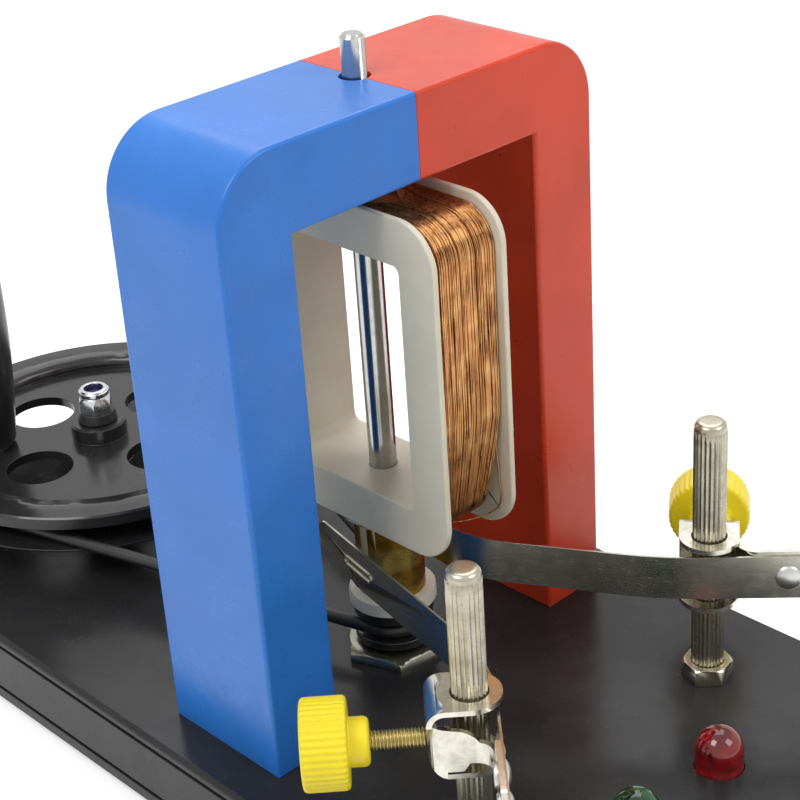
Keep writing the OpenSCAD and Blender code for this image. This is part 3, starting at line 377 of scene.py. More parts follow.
@dataclass(frozen=True)
class WornBrass:
    """Brass of the commutator: turned rings, and a band kept bright between two heights."""

    name: str
    colour: Colour
    tarnish: Colour
    bright: Colour
    band: Span
    fade: float = 1.5
    ring_depth: float = 0.01

    def make(self) -> bpy.types.Material:
        """Builds the material."""
        recipe = Recipe(self.name)
        height = recipe.add("SeparateXYZ", {"Vector": recipe.place}).outputs["Z"]
        low, high = self.band
        rise = recipe.rescale(height, (low * MM, (low + self.fade) * MM), (0, 1))
        fall = recipe.rescale(height, ((high - self.fade) * MM, high * MM), (1, 0))
        rubbed = recipe.rescale(recipe.math("MULTIPLY", rise, fall), (0, 1), (0, 0.7))
        cloud = recipe.rescale(recipe.noise(2.5, 4, 0.62), (0.4, 0.7), (0, 0.75))
        base = recipe.blend(self.colour, self.tarnish, cloud)
        rings = recipe.noise(0.9, 3, 0.6, recipe.stretched((0.6, 0.6, 9.0)))
        recipe.set(Base_Color=recipe.blend(base, self.bright, rubbed),
                   Roughness=recipe.rescale(rings, (0.3, 0.7), (0.2, 0.42)), Metallic=1.0)
        recipe.emboss((rings, self.ring_depth))
        return recipe.material


class Finishes:
    """The material of every slot in the record, each made once, when it is first asked for."""

    TABLE = {
        finish.name: finish for finish in (
            Plastic("base_plastic", (0.16, 0.16, 0.165), 0.24, tone=0.08, grain=0.004, dust=0.25,
                    gloss=0.22),
            Plastic("cover_plastic", (0.2, 0.2, 0.205), 0.5, grain=0.02),
            Rubber("foot_rubber", (0.09, 0.09, 0.09), 0.7),
            Metal("plated_screws", (0.72, 0.72, 0.7), 0.3, (0.5, 0.48, 0.44)),
            Plastic("casing_blue", (0.165, 0.455, 0.8), 0.3, tone=0.035, grain=0.004, gloss=0.4),
            Plastic("casing_red", (0.82, 0.25, 0.13), 0.32, tone=0.045, grain=0.004, gloss=0.4),
            Metal("yoke_steel", (0.5, 0.5, 0.52), 0.4, (0.3, 0.25, 0.2)),
            Metal("ferrite", (0.2, 0.2, 0.21), 0.6, (0.12, 0.12, 0.12)),
            Metal("bush_bronze", (0.76, 0.62, 0.3), 0.3, (0.5, 0.38, 0.18)),
            Metal("bearing_dark", (0.52, 0.52, 0.47), 0.34, (0.3, 0.3, 0.27), coat=0.1),
            Metal("axle_steel", (0.74, 0.74, 0.73), 0.17, (0.5, 0.49, 0.46)),
            Plastic("washer_black", (0.17, 0.17, 0.175), 0.4),
            Metal("locknut_zinc", (0.82, 0.83, 0.84), 0.22, (0.55, 0.54, 0.5)),
            Plastic("insert_nylon", (0.1, 0.14, 0.36), 0.35),
            Rubber("belt_rubber", (0.1, 0.1, 0.1), 0.45, (0.2, 0.2, 0.2)),
            Metal("post_nickel", (0.71, 0.69, 0.62), 0.27, (0.48, 0.45, 0.37),
                  tarnish_share=0.5),
            Lens("lamp_red_lens", (0.74, 0.03, 0.05), (0.45, 0.01, 0.02)),
            Lens("lamp_green_lens", (0.1, 0.42, 0.2), (0.03, 0.2, 0.09)),
            Metal("lead_tin", (0.78, 0.78, 0.78), 0.3, (0.5, 0.5, 0.5)),
            Plastic("bobbin_cream", (0.87, 0.85, 0.77), 0.42, tone=0.03, subsurface=0.25),
            EnamelledCopper("copper_core", (0.72, 0.47, 0.25), (0.5, 0.29, 0.14),
                            (0.84, 0.6, 0.35), 0.34),
            EnamelledCopper("copper_wire", (0.8, 0.57, 0.34), (0.5, 0.3, 0.17),
                            (0.95, 0.76, 0.5), 0.24),
            WornBrass("commutator_brass", (0.74, 0.58, 0.22), (0.42, 0.3, 0.1),
                      (0.88, 0.76, 0.45), (44.0, 51.0)),
            Plastic("sleeve_plastic", (0.82, 0.8, 0.72), 0.45),
            Plastic("disc_plastic", (0.88, 0.86, 0.8), 0.4, tone=0.04, subsurface=0.2),
            Plastic("pulley_black", (0.13, 0.13, 0.13), 0.3),
            Plastic("wheel_black", (0.15, 0.15, 0.155), 0.17, grain=0.003, dust=0.25),
            Plastic("grip_black", (0.13, 0.13, 0.135), 0.3),
            Metal("clamp_nickel", (0.86, 0.85, 0.8), 0.2, (0.5, 0.47, 0.4),
                  marks=(1.0, 1.0, 3.0)),
            Metal("strip_steel", (0.76, 0.75, 0.7), 0.2, (0.6, 0.58, 0.52),
                  marks=(0.3, 0.3, 9.0), tarnish_share=0.4, mark_depth=0.001),
            Metal("rivet_alu", (0.8, 0.8, 0.79), 0.32, (0.5, 0.5, 0.48)),
            Metal("screw_brass", (0.75, 0.69, 0.48), 0.3, (0.5, 0.43, 0.28),
                  tarnish_share=0.6),
            Plastic("knob_yellow", (0.94, 0.86, 0.13), 0.38, tone=0.04, subsurface=0.3),
        )
    }

    def __init__(self) -> None:
        """Starts with no material made."""
        self.made: dict[str, bpy.types.Material] = {}

    def get(self, slot: str) -> bpy.types.Material:
        """The material of a slot, made now if it is asked for the first time."""
        if slot not in self.made:
            self.made[slot] = self.TABLE[slot].make()
        return self.made[slot]


# Meshes


def shade(mesh: bpy.types.Mesh, sharp: float) -> None:
    """Shades a mesh smooth, apart from its edges over an angle in degrees."""
    mesh.polygons.foreach_set("use_smooth", np.ones(len(mesh.polygons), bool))
    mesh.set_sharp_from_angle(angle=math.radians(sharp))


class Shell:
    """Closed surfaces worked out on grids and written to one mesh."""

    def __init__(self) -> None:
        """Starts with no points and no faces."""
        self.points: list[np.ndarray] = []
        self.faces: list[np.ndarray] = []
        self.count = 0

    def grid(self, points: np.ndarray, wrap: bool) -> None:
        """Adds a closed surface of four-sided faces over rings of points, facing outwards.

        Args:
            points: Array of rings by points by 3, in millimetres.
            wrap: True if the last ring meets the first. If not, both ends are closed by a fan
                of triangles round their middle, with -1 in the place of a fourth corner.
        """
        rings, sides = points.shape[:2]
        index = np.arange(rings * sides).reshape(rings, sides)
        low, high = (index, np.roll(index, -1, 0)) if wrap else (index[:-1], index[1:])
        quads = (low, high, np.roll(high, -1, 1), np.roll(low, -1, 1))
        vertices, faces = [points.reshape(-1, 3)], [np.stack([q.ravel() for q in quads], 1)]
        if not wrap:
            vertices.append(points[[0, -1]].mean(1))
            foot, top = index[0], index[-1]
            fans = ((foot, np.roll(foot, -1)), (np.roll(top, -1), top))
            for middle, (first, second) in enumerate(fans, index.size):
                faces.append(np.stack([np.full(sides, middle), first, second,
                                       np.full(sides, -1)], 1))
        vertices, faces = np.concatenate(vertices), np.concatenate(faces)
        a, b, c, d = (vertices[corner] for corner in faces.T)
        four = faces[:, 3] >= 0
        if np.sum(a * np.cross(b, c)) + np.sum((a * np.cross(c, d))[four]) < 0:
            faces[four] = faces[four][:, ::-1]
            faces[~four, :3] = faces[~four, 2::-1]
        faces[faces >= 0] += self.count
        self.count += len(vertices)
        self.points.append(vertices)
        self.faces.append(faces)

    def mesh(self, name: str, sharp: float) -> bpy.types.Mesh:
        """Writes the surfaces to a mesh in metres.

        Args:
            name: Name of the mesh.
            sharp: Angle in degrees over which an edge is drawn sharp.

        Returns:
            The mesh.
        """
        mesh = bpy.data.meshes.new(name)
        faces = [[i for i in face if i >= 0] for face in np.concatenate(self.faces).tolist()]
        mesh.from_pydata((np.concatenate(self.points) * MM).tolist(), [], faces)
        mesh.validate()
        shade(mesh, sharp)
        return mesh


def revolve(profile: np.ndarray, sides: int = 96, centre: Point = (0, 0, 0)) -> np.ndarray:
    """Carries a profile round an upright axis.

    Args:
        profile: Array of radius and height pairs in millimetres.
        sides: Steps round the axis.
        centre: Point on the axis from which the heights count.

    Returns:
        Array of points, one row for each profile point: the radius times the cosine and sine
        of the step's angle, and the height.
    """
    angle = np.linspace(0, 2 * np.pi, sides, endpoint=False)
    ring = np.stack([np.cos(angle), np.sin(angle), np.zeros(sides)], 1)
    rows = profile[:, 0, None, None] * ring + profile[:, 1, None, None] * np.array([0, 0, 1.0])
    return rows + np.asarray(centre, float)


def fluted(profile: np.ndarray, count: int, share: np.ndarray, power: float) -> np.ndarray:
    """Carries a profile round an upright axis, with dips in its radius.

    Args:
        profile: Array of radius and height pairs in millimetres.
        count: Dips round the axis.
        share: Share of the radius that a dip takes, one for each profile point.
        power: Power of the wave of a dip: the larger, the narrower the dips.

    Returns:
        Array of points, one row for each profile point and eight points for each dip.
    """
    rows = revolve(profile, count * 8)
    dip = (0.5 - 0.5 * np.cos(np.arange(count * 8) * np.pi / 4)) ** power
    rows[..., :2] *= 1 - (share[:, None] * dip)[..., None]
    return rows


def rounded(corners: list[tuple[float, float]], radii: list[float],
            steps: int = 5) -> np.ndarray:
    """Rounds the corners of an open profile.

    Args:
        corners: Corner points of the profile.
        radii: Rounding at each corner, 0 at the two ends.
        steps: Points on each rounding.

    Returns:
        The profile's points. A rounding is a quadratic curve that leaves and meets the sides
        one radius from the corner.
    """
    points: list[np.ndarray] = []
    c = np.asarray(corners, float)
    t = np.linspace(0, 1, steps)[:, None]
    for i, radius in enumerate(radii):
        if radius <= 0 or i in (0, len(c) - 1):
            points.append(c[i][None])
            continue
        before = c[i - 1] - c[i]
        after = c[i + 1] - c[i]
        start = c[i] + before / np.linalg.norm(before) * radius
        end = c[i] + after / np.linalg.norm(after) * radius
        points.append((1 - t) ** 2 * start + 2 * t * (1 - t) * c[i] + t ** 2 * end)
    return np.concatenate(points)


def tube(path: np.ndarray, radius: float, sides: int, closed: bool = False) -> np.ndarray:
    """Carries a circle along a path.

    Args:
        path: Array of points in millimetres.
        radius: Radius of the circle.
        sides: Points on the circle.
        closed: True if the last point meets the first.

    Returns:
        Array of rings. A ring is the path's point plus the radius times the cosine of the
        angle along the level sideways direction and its sine along the remaining direction.
    """
    if closed:
        along = np.roll(path, -1, 0) - np.roll(path, 1, 0)
    else:
        along = np.gradient(path, axis=0)
    along /= np.linalg.norm(along, axis=1, keepdims=True)
    upright = np.where(np.abs(along[:, 2:3]) > 0.9, np.array([0, 1.0, 0]), np.array([0, 0, 1.0]))
    aside = np.cross(along, upright)
    aside /= np.linalg.norm(aside, axis=1, keepdims=True)
    over = np.cross(aside, along)
    angle = np.linspace(0, 2 * np.pi, sides, endpoint=False)[None, :, None]
    return (path[:, None] + radius * np.cos(angle) * aside[:, None]
            + radius * np.sin(angle) * over[:, None])


def enter(name: str, data: bpy.types.ID) -> bpy.types.Object:
    """Makes an object of a mesh, camera or lamp and links it to the scene."""
    thing = bpy.data.objects.new(name, data)
    bpy.context.scene.collection.objects.link(thing)
    return thing


# Sub-assemblies


@dataclass
class Assembly:
    """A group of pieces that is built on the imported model."""

    frame: dict
    finishes: Finishes

    def slot_of(self, node: str) -> str:
        """Record slot that a CAD node takes its finish from."""
        parts = self.frame["record"]["subparts"]
        return next(part["material_slot"] for part in parts if part["node"] == node)

    def body_of(self, node: str) -> str:
        """CAD body that a node moves with."""
        bodies = self.frame["record"]["behaviour"]["bodies"]
        return next(body for body, nodes in bodies.items() if node in nodes)

    def box(self, node: str) -> tuple[np.ndarray, np.ndarray]:
        """Lowest and highest corner of a CAD node in millimetres."""
        low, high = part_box(node)
        return np.array(low) / MM, np.array(high) / MM

    def middle(self, node: str) -> np.ndarray:
        """Middle of a CAD node in millimetres."""
        low, high = self.box(node)
        return (low + high) / 2

    def dress(self, mesh: bpy.types.Mesh, slot: str) -> None:
        """Gives a mesh the finish of a slot."""
        mesh.materials.clear()
        mesh.materials.append(self.finishes.get(slot))

    def stand(self, name: str, mesh: bpy.types.Mesh, node: str,
              slot: str = "") -> bpy.types.Object:
        """Puts a mesh on the body of a CAD node.

        Args:
            name: Name of the new object.
            mesh: Its mesh, in metres in the row frame.
            node: The CAD node.
            slot: Slot of a piece that stands beside the node, or empty for a piece that takes
                the node's place and its slot.

        Returns:
            The new object.
        """
        thing = enter(name, mesh)
        self.dress(mesh, slot or self.slot_of(node))
        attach(thing, self.body_of(node))
        if not slot:
            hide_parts(node)
        log.info("%s: %d faces on %s", name, len(mesh.polygons), self.body_of(node))
        return thing

    def write(self, name: str, node: str, *surfaces: np.ndarray, slot: str = "",
              sharp: float = 40.0, wrap: bool = False) -> None:
        """Writes surfaces as one piece that moves with a CAD node.

        Args:
            name: Name of the piece.
            node: The CAD node.
            surfaces: Arrays of points, rows by columns by 3.
            slot: Slot of a piece beside the node, or empty for one that takes its place.
            sharp: Angle in degrees over which an edge is drawn sharp.
            wrap: True if the last row of each surface meets its first.
        """
        shell = Shell()
        for points in surfaces:
            shell.grid(points, wrap)
        self.stand(name, shell.mesh(name, sharp), node, slot)

    def soften(self, node: str, edge: float, segments: int = 3,
               share: Callable[[np.ndarray], np.ndarray] | None = None,
               tight: bool = False) -> None:
        """Stands a copy of a CAD node with rounded edges in its place.

        Args:
            node: CAD node to copy.
            edge: Width of the rounding in millimetres.
            segments: Faces across a rounding.
            share: Gives the share of the width for the middles of the edges, in
                millimetres, or None where every edge takes the whole width.
            tight: True where short edges lie close together, so that the rounding has to
                stay narrower than they are.
        """
        mesh = self.frame["nodes"][node].data.copy()
        work = bmesh.new()
        work.from_mesh(mesh)
        bmesh.ops.remove_doubles(work, verts=work.verts, dist=MERGE)
        bmesh.ops.dissolve_limit(work, angle_limit=math.radians(FLAT_ANGLE), verts=work.verts,
                                 edges=work.edges)
        bmesh.ops.recalc_face_normals(work, faces=work.faces)
        work.to_mesh(mesh)
        work.free()
        shade(mesh, SHARP_ANGLE)
        weight = np.zeros(len(mesh.edges), bool)
        if "sharp_edge" in mesh.attributes:
            mesh.attributes["sharp_edge"].data.foreach_get("value", weight)
        weight = weight.astype(np.float32)
        if share is not None:
            ends = np.zeros(2 * len(mesh.edges), np.int32)
            mesh.edges.foreach_get("vertices", ends)
            points = np.zeros(3 * len(mesh.vertices), np.float32)
            mesh.vertices.foreach_get("co", points)
            weight *= share(points.reshape(-1, 3)[ends.reshape(-1, 2)].mean(1) / MM)
        mesh.attributes.new("bevel_weight_edge", "FLOAT", "EDGE")
        mesh.attributes["bevel_weight_edge"].data.foreach_set("value", weight)
        bevel = self.stand(f"{node}_rounded", mesh, node).modifiers.new("rounding", "BEVEL")
        bevel.width = edge * MM
        bevel.segments = segments
        bevel.limit_method = "WEIGHT"
        bevel.use_clamp_overlap = tight
        bevel.harden_normals = True

    def soften_each(self, tight: bool = False, **edges: float) -> None:
        """Rounds the edges of several nodes, each by its own width in millimetres."""
        for node, edge in edges.items():
            self.soften(node, edge, tight=tight)


@dataclass
class Base(Assembly):
    """Hollow moulded base with its cover, feet, screws and under nuts."""

    top_edge: float = 1.3
    small: float = 0.18
    foot_share: float = 0.4
    rim: float = 3.2

    def rounding(self, middles: np.ndarray) -> np.ndarray:
        """Share of the rounding: full on the outer edges of the deck, small elsewhere."""
        low, high = self.box("base_shell")
        inwards = np.minimum(high[:2] - middles[:, :2], middles[:, :2] - low[:2]).min(1)
        top, foot = middles[:, 2] > high[2] - NEAR, middles[:, 2] < low[2] + NEAR
        share = np.where(top, 1.0, np.where(foot, self.foot_share, self.small / self.top_edge))
        return np.where(inwards < self.rim, share, self.small / self.top_edge)

    def build(self) -> None:
        """Builds the base."""
        self.soften("base_shell", self.top_edge, share=self.rounding, segments=4)
        self.soften_each(base_cover=0.3, rubber_feet=0.5, cover_screws=0.1,
                         bearing_locknut=0.2, axle_undernut=0.2, post_undernuts=0.2)


@dataclass
class Magnet(Assembly):
    """Arch of two coloured casings over a yoke and pole magnets, with its top bushing."""

    edge: float = 1.0
    small: float = 0.2

    def rounding(self, middles: np.ndarray) -> np.ndarray:
        """Share of the rounding: full on the outer edges of the casings, small elsewhere."""
        low, high = self.box("blue_casing")
        flank = np.minimum(high[0] - middles[:, 0], middles[:, 0] - low[0]) < NEAR
        outer = flank & (np.abs(middles[:, 1]) > 2 * NEAR) & (middles[:, 2] > low[2] + NEAR)
        return np.where(outer, 1.0, self.small / self.edge)

    def build(self) -> None:
        """Builds the magnet."""
        self.soften("blue_casing", self.edge, share=self.rounding)
        self.soften("red_casing", self.edge, share=self.rounding)
        self.soften_each(top_bushing=0.1, arm_screws=0.15, pole_magnets=0.3, flux_yoke=0.3)


@dataclass
class Winding(Assembly):
    """Copper wire wound on the bobbin: one unbroken strand over a solid band of wire."""

    strand: float = 0.34
    per_layer: int = 50
    layers: int = 3
    layer_step: float = 0.85  # share of the strand from one layer to the next
    corner: float = 7.6
    steps: int = 12  # points on each corner and on each straight of a turn
    sides: int = 5
    parting: float = 4.6
    parting_reach: float = 9.0
    bunch: float = 0.34
    bunch_wave: float = 3.1
    depth: float = 5.0
    narrowing: float = 0.26
    sinking: float = 3.0
    loose: Span = (4.2, 6.2)  # where the loose end leaves and ends, in eighths of a turn
    loose_rise: float = 3.2
    loose_depth: float = 2.6
    seed: int = 7

    @property
    def breadth(self) -> float:
        """Half the breadth of the winding along Y."""
        low, high = self.box("winding_turns")
        return (high[1] - low[1]) / 2

    def about(self, x: np.ndarray, y: np.ndarray, z: np.ndarray) -> np.ndarray:
        """Points in the row frame, from their places about the middle of the bobbin."""
        return np.stack([x, y, z], -1) + self.middle("winding_turns")

    def outline(self) -> tuple[np.ndarray, np.ndarray, np.ndarray]:
        """Middle line of one turn, seen along Y, and its outward directions.

        Returns:
            Points (x, z) from the middle of the bobbin, unit normals, and half the size of
            the wound block. The line is a rectangle with round corners, walked from the
            middle of the side at -X up and over, in equal steps on every straight and corner.
        """
        low, high = self.box("winding_turns")
        half = (high - low)[[0, 2]] / 2 - self.layer_step * self.strand * self.layers
        inner = half - self.corner
        arc = np.linspace(0, np.pi / 2, self.steps, endpoint=False)
        run = np.linspace(0, 1, self.steps, endpoint=False)[:, None]
        middles = np.array([[-1, 1], [1, 1], [1, -1], [-1, -1]]) * inner
        starts = np.array([[-1, 0], [0, 1], [1, 0], [0, -1]], float)
        points, normals = [], []
        for i in range(4):
            turn = np.pi - np.pi / 2 * i - arc
            spokes = np.stack([np.cos(turn), np.sin(turn)], 1)
            after = middles[(i + 1) % 4] + starts[(i + 1) % 4] * self.corner
            leave = middles[i] + starts[(i + 1) % 4] * self.corner
            points += [middles[i] + self.corner * spokes, leave + run * (after - leave)]
            normals += [spokes, np.broadcast_to(starts[(i + 1) % 4], (self.steps, 2))]
        shift = -self.steps // 2
        return (np.roll(np.concatenate(points), -shift, 0),
                np.roll(np.concatenate(normals), -shift, 0), half)

    def drift(self, count: int, period: int, rng: np.random.Generator) -> np.ndarray:
        """Smooth random values between -1 and 1, one for each point of the wire.

        Args:
            count: Points of the wire.
            period: Points between two random values.
            rng: Source of the values.

        Returns:
            The values, joined by cosine steps.
        """
        knots = rng.uniform(-1, 1, count // period + 3)
        at = np.arange(count) / period
        k = at.astype(int)
        t = 0.5 - 0.5 * np.cos(np.pi * (at - k))
        return knots[k] * (1 - t) + knots[k + 1] * t

    def crowding(self, x: np.ndarray, z: np.ndarray, half: np.ndarray) -> np.ndarray:
        """How far the wire is pushed beside the shaft: 1 over the top and foot, 0 at the sides."""
        ends = np.clip((np.abs(z) - 0.8 * half[1]) / (0.15 * half[1]), 0, 1)
        return ends * np.exp(-(x / self.parting_reach) ** 4)

    def gathering(self, x: np.ndarray, z: np.ndarray, half: np.ndarray) -> np.ndarray:
        """How far the wire is drawn together at the lower part of the +X side, 0 to 1."""
        low = np.clip((-0.2 * half[1] - z) / (0.8 * half[1]), 0, 1)
        side = np.clip((x + 0.35 * half[0]) / (1.0 * half[0]), 0, 1)
        return low ** 1.3 * side

    def wire(self) -> np.ndarray:
        """Middle line of the whole wire.

        Returns:
            Array of points in millimetres. Across the bobbin the wire advances by one pitch
            each turn and comes back in the next layer, with smooth random drifts that let
            neighbours cross and bunch; outwards it stands on the layer below.
        """
        points, normals, half = self.outline()
        ring = len(points)
        rng = np.random.default_rng(self.seed)
        reach = self.breadth - self.strand / 2
        count = self.per_layer * self.layers * ring
        u = np.arange(count) / ring
        layer = (u // self.per_layer).astype(int)
        across = (u % self.per_layer) / self.per_layer
        across = np.where(layer % 2 == 0, across, 1 - across)
        plain = reach * (2 * across - 1)
        x, z = np.tile(points.T, count // ring)
        free = np.clip((reach - np.abs(plain)) / 1.5, 0, 1)
        bunch = self.bunch * np.sin(plain * self.bunch_wave + 1.2 * np.sin(z / 17))
        slant = self.drift(count, ring // 2, rng) * 0.9 + self.drift(count, ring // 5, rng) * 0.2
        y = plain + free * (bunch + slant * (0.45 + 0.55 * layer))
        y = np.clip(y, -reach, reach)
        crowd = self.crowding(x, z, half)
        sign = np.where(plain < 0, -1.0, 1.0)
        beside = sign * (self.parting + np.abs(y) / reach * (reach - self.parting))
        y = y * (1 - crowd) + beside * crowd
        gather = self.gathering(x, z, half)
        y = -reach + (y + reach) * (1 - self.narrowing * gather)
        pile = np.abs(self.drift(count, ring, rng))
        out = ((layer + 0.5) * self.layer_step - 0.5) * self.strand
        out += 0.06 * self.drift(count, ring // 4, rng) + pile * (0.3 * crowd + 0.5 * gather)
        out -= self.sinking * gather
        nx, nz = np.tile(normals.T, count // ring)
        return self.about(x + nx * out, y, z + nz * out)

    def band(self) -> np.ndarray:
        """Solid band that holds the wires beneath the visible layers.

        Returns:
            Rings of a closed band: each lies across the bobbin, from the web outwards, and is
            as wide as the wire there.
        """
        points, normals, half = self.outline()
        reach = self.breadth - 0.05
        angle = np.linspace(0, 2 * np.pi, 24, endpoint=False)
        wide = np.sign(np.cos(angle)) * np.abs(np.cos(angle)) ** 0.35
        deep = np.sign(np.sin(angle)) * np.abs(np.sin(angle)) ** 0.35
        gather = self.gathering(points[:, 0], points[:, 1], half)[:, None]
        y = -reach + (reach * wide[None] + reach) * (1 - self.narrowing * gather)
        out = (self.depth / 2 * (deep[None] - 1) - 0.1
               - self.sinking * gather * (deep[None] + 1) / 2)
        x, z = (points[:, i, None] + normals[:, i, None] * out for i in (0, 1))
        return self.about(x, y, z)

    def loose_end(self) -> np.ndarray:
        """Middle line of the wire's loose end, round the foot beside the far flange.

        Returns:
            Points that leave the winding low on its +X side, swing out round the corner by the
            root of a half sine and cross to the near flange under the foot.
        """
        points, normals, _ = self.outline()
        start, stop = (round(eighths * self.steps) for eighths in self.loose)
        t = np.linspace(0, 1, stop - start)
        reach = self.breadth - self.strand
        cross = np.clip((t - 0.4) / 0.6, 0, 1)
        y = reach * (1 - 1.8 * cross * cross * (3 - 2 * cross))
        out = self.loose_rise * np.sqrt(np.sin(np.pi * t)) - self.loose_depth
        x, z = (points[start:stop] + normals[start:stop] * out[:, None]).T
        return self.about(x, y, z)

    def build(self) -> None:
        """Builds the winding."""
        self.write("winding_band", "winding_core", self.band(), wrap=True)
        strands = (tube(path, self.strand / 2, self.sides)
                   for path in (self.wire(), self.loose_end()))
        self.write("winding_strand", "winding_turns", *strands, sharp=180)


@dataclass
class Rotor(Assembly):
    """Shaft with bobbin, commutator, insulating disc and small pulley."""

    flange: float = 1.6
    edge: float = 0.45
    inner_share: float = 0.4

    def build(self) -> None:
        """Builds the rotor, apart from its winding."""
        self.soften_each(tight=True, shaft=0.25)
        self.soften("bobbin", self.edge, share=self.rounding)
        self.soften_each(commutator_segments=0.12, commutator_sleeve=0.1, insulator_disc=0.3)
        self.soften_each(tight=True, rotor_pulley=0.25, bearing_bush=0.2)

    def rounding(self, middles: np.ndarray) -> np.ndarray:
        """Share of the rounding: full on the faces of the flanges, small inside."""
        low, high = self.box("bobbin")
        face = np.minimum(high[1] - middles[:, 1], middles[:, 1] - low[1]) < self.flange
        return np.where(face, 1.0, self.inner_share)


@dataclass
class Drive(Assembly):
    """Drive wheel with its axle, washer, locking nut and belt."""

    span: float = 110.0
    wheel_r: float = 41.2
    pulley_r: float = 7.2
    wheel_z: float = 33.856
    pulley_z: float = 29.332
    belt_r: float = 1.5
    belt_sides: int = 24

    def belt(self) -> np.ndarray:
        """Middle line of the belt: an arc on each pulley and two straight strands."""
        axis = self.middle("drive_wheel")[0]
        lean = math.asin((self.wheel_r - self.pulley_r) / self.span)
        wide = np.linspace(np.pi / 2 - lean, 3 * np.pi / 2 + lean, 120)
        tight = np.linspace(-np.pi / 2 + lean, np.pi / 2 - lean, 60)
        big = np.stack([axis + self.wheel_r * np.cos(wide), self.wheel_r * np.sin(wide),
                        np.full(len(wide), self.wheel_z)], 1)
        small = np.stack([axis + self.span + self.pulley_r * np.cos(tight),
                          self.pulley_r * np.sin(tight), np.full(len(tight), self.pulley_z)], 1)
        t = np.linspace(0, 1, 14)[1:-1, None]
        return np.concatenate([big, big[-1] + t * (small[0] - big[-1]),
                               small, small[-1] + t * (big[0] - small[-1])])

    def build(self) -> None:
        """Builds the drive."""
        self.soften_each(tight=True, drive_wheel=0.35)
        self.soften_each(wheel_axle=0.15, axle_washer=0.25, axle_locknut=0.15,
                         locknut_insert=0.1)
        belt = tube(self.belt(), self.belt_r, self.belt_sides, closed=True)
        self.write("belt_loop", "drive_belt", belt, sharp=180, wrap=True)


@dataclass
class Handle(Assembly):
    """Crank handle: a grip that turns on a pin through the wheel."""

    foot_d: float = 15.6
    top_d: float = 20.8
    pin_bore: float = 6.12
    recess_d: float = 10.4
    recess: float = 5.0
    swelling: float = 0.6  # share of the length over which the grip swells
    shoulder: float = 0.85  # share of the length at which the crown starts
    crown: float = 0.55
    chamfer: float = 0.4

    def profile(self) -> np.ndarray:
        """Radius and height of the grip, from its foot over the crown into the recess.

        Returns:
            Array of pairs: the grip swells on a quarter sine over three fifths of its
            length and closes in a round crown over the last seventh.
        """
        low, high = self.box("handle_grip")
        length = high[2] - low[2]
        t = np.linspace(0, 1, 90)
        foot, big = self.foot_d / 2, self.top_d / 2
        swell = foot + (big - foot) * np.sin(np.pi / 2 * np.minimum(1, t / self.swelling))
        over = (t - self.shoulder) / (1 - self.shoulder)
        crown = big * np.sqrt(np.maximum(0, 1 - self.crown * over ** 2))
        skin = np.stack([np.where(over < 0, swell, crown), t * length], 1)
        skin[0, 1] = self.chamfer
        well = rounded([(self.recess_d / 2 + 0.6, length), (self.recess_d / 2, length),
                        (self.recess_d / 2, length - self.recess),
                        (self.pin_bore / 2, length - self.recess)], [0, 0.5, 0.3, 0])
        edge = [[self.pin_bore / 2, 0], [foot - self.chamfer, 0]]
        return np.concatenate([edge, skin, well])

    def build(self) -> None:
        """Builds the handle."""
        middle = self.middle("handle_grip")
        foot = self.box("handle_grip")[0][2]
        self.write("grip_turned", "handle_grip",
                   revolve(self.profile(), centre=(middle[0], middle[1], foot)), sharp=50,
                   wrap=True)
        self.soften_each(handle_pin=0.2, pin_nut=0.15, handle_washer=0.15)


@dataclass
class Posts(Assembly):
    """The two knurled posts of the brushes with the nuts on the deck."""

    diameter: float = 7.0
    flutes: int = 22
    flute_depth: float = 0.3
    cap: float = 2.0
    cap_inset: float = 0.12
    crown: float = 1.6
    thread_d: float = 6.0
    chamfer: float = 0.5
    dimple: float = 0.3

    def post(self, at: np.ndarray, foot: float, deck: float, top: float) -> np.ndarray:
        """Surface of one post.

        Args:
            at: Point on its axis at height 0.
            foot: Height of the end of its thread.
            deck: Height of the deck.
            top: Height of its top.

        Returns:
            Rows of points. The flutes run from the deck and fade out below the cap.
        """
        r = self.diameter / 2
        rim, thread = r - self.cap_inset, self.thread_d / 2
        cap = rounded([(rim, top - self.cap), (rim, top), (self.dimple, top)],
                      [0, self.crown, 0], 9)
        stem = np.stack([np.full(40, r), np.linspace(deck, top - self.cap - 0.1, 40)], 1)
        tail = np.array([[self.dimple, foot], [thread - self.chamfer, foot],
                         [thread, foot + self.chamfer], [thread, deck - 0.1]])
        profile = np.concatenate([tail, stem, cap])
        height = profile[:, 1]
        cut = np.clip((top - self.cap + 0.1 - height) / 0.5, 0, 1) * (height >= deck)
        return at + fluted(profile, self.flutes, self.flute_depth / r * cut, 0.7)

    def build(self) -> None:
        """Builds the posts."""
        low, high = self.box("brush_posts")
        deck = self.box("base_shell")[1][2]
        middle = (low + high)[0] / 2
        edges = (low[1] + self.diameter / 2, high[1] - self.diameter / 2)
        posts = (self.post(np.array([middle, y, 0]), low[2], deck, high[2]) for y in edges)
        self.write("posts_fluted", "brush_posts", *posts, sharp=60)
        self.soften("post_nuts", 0.18)


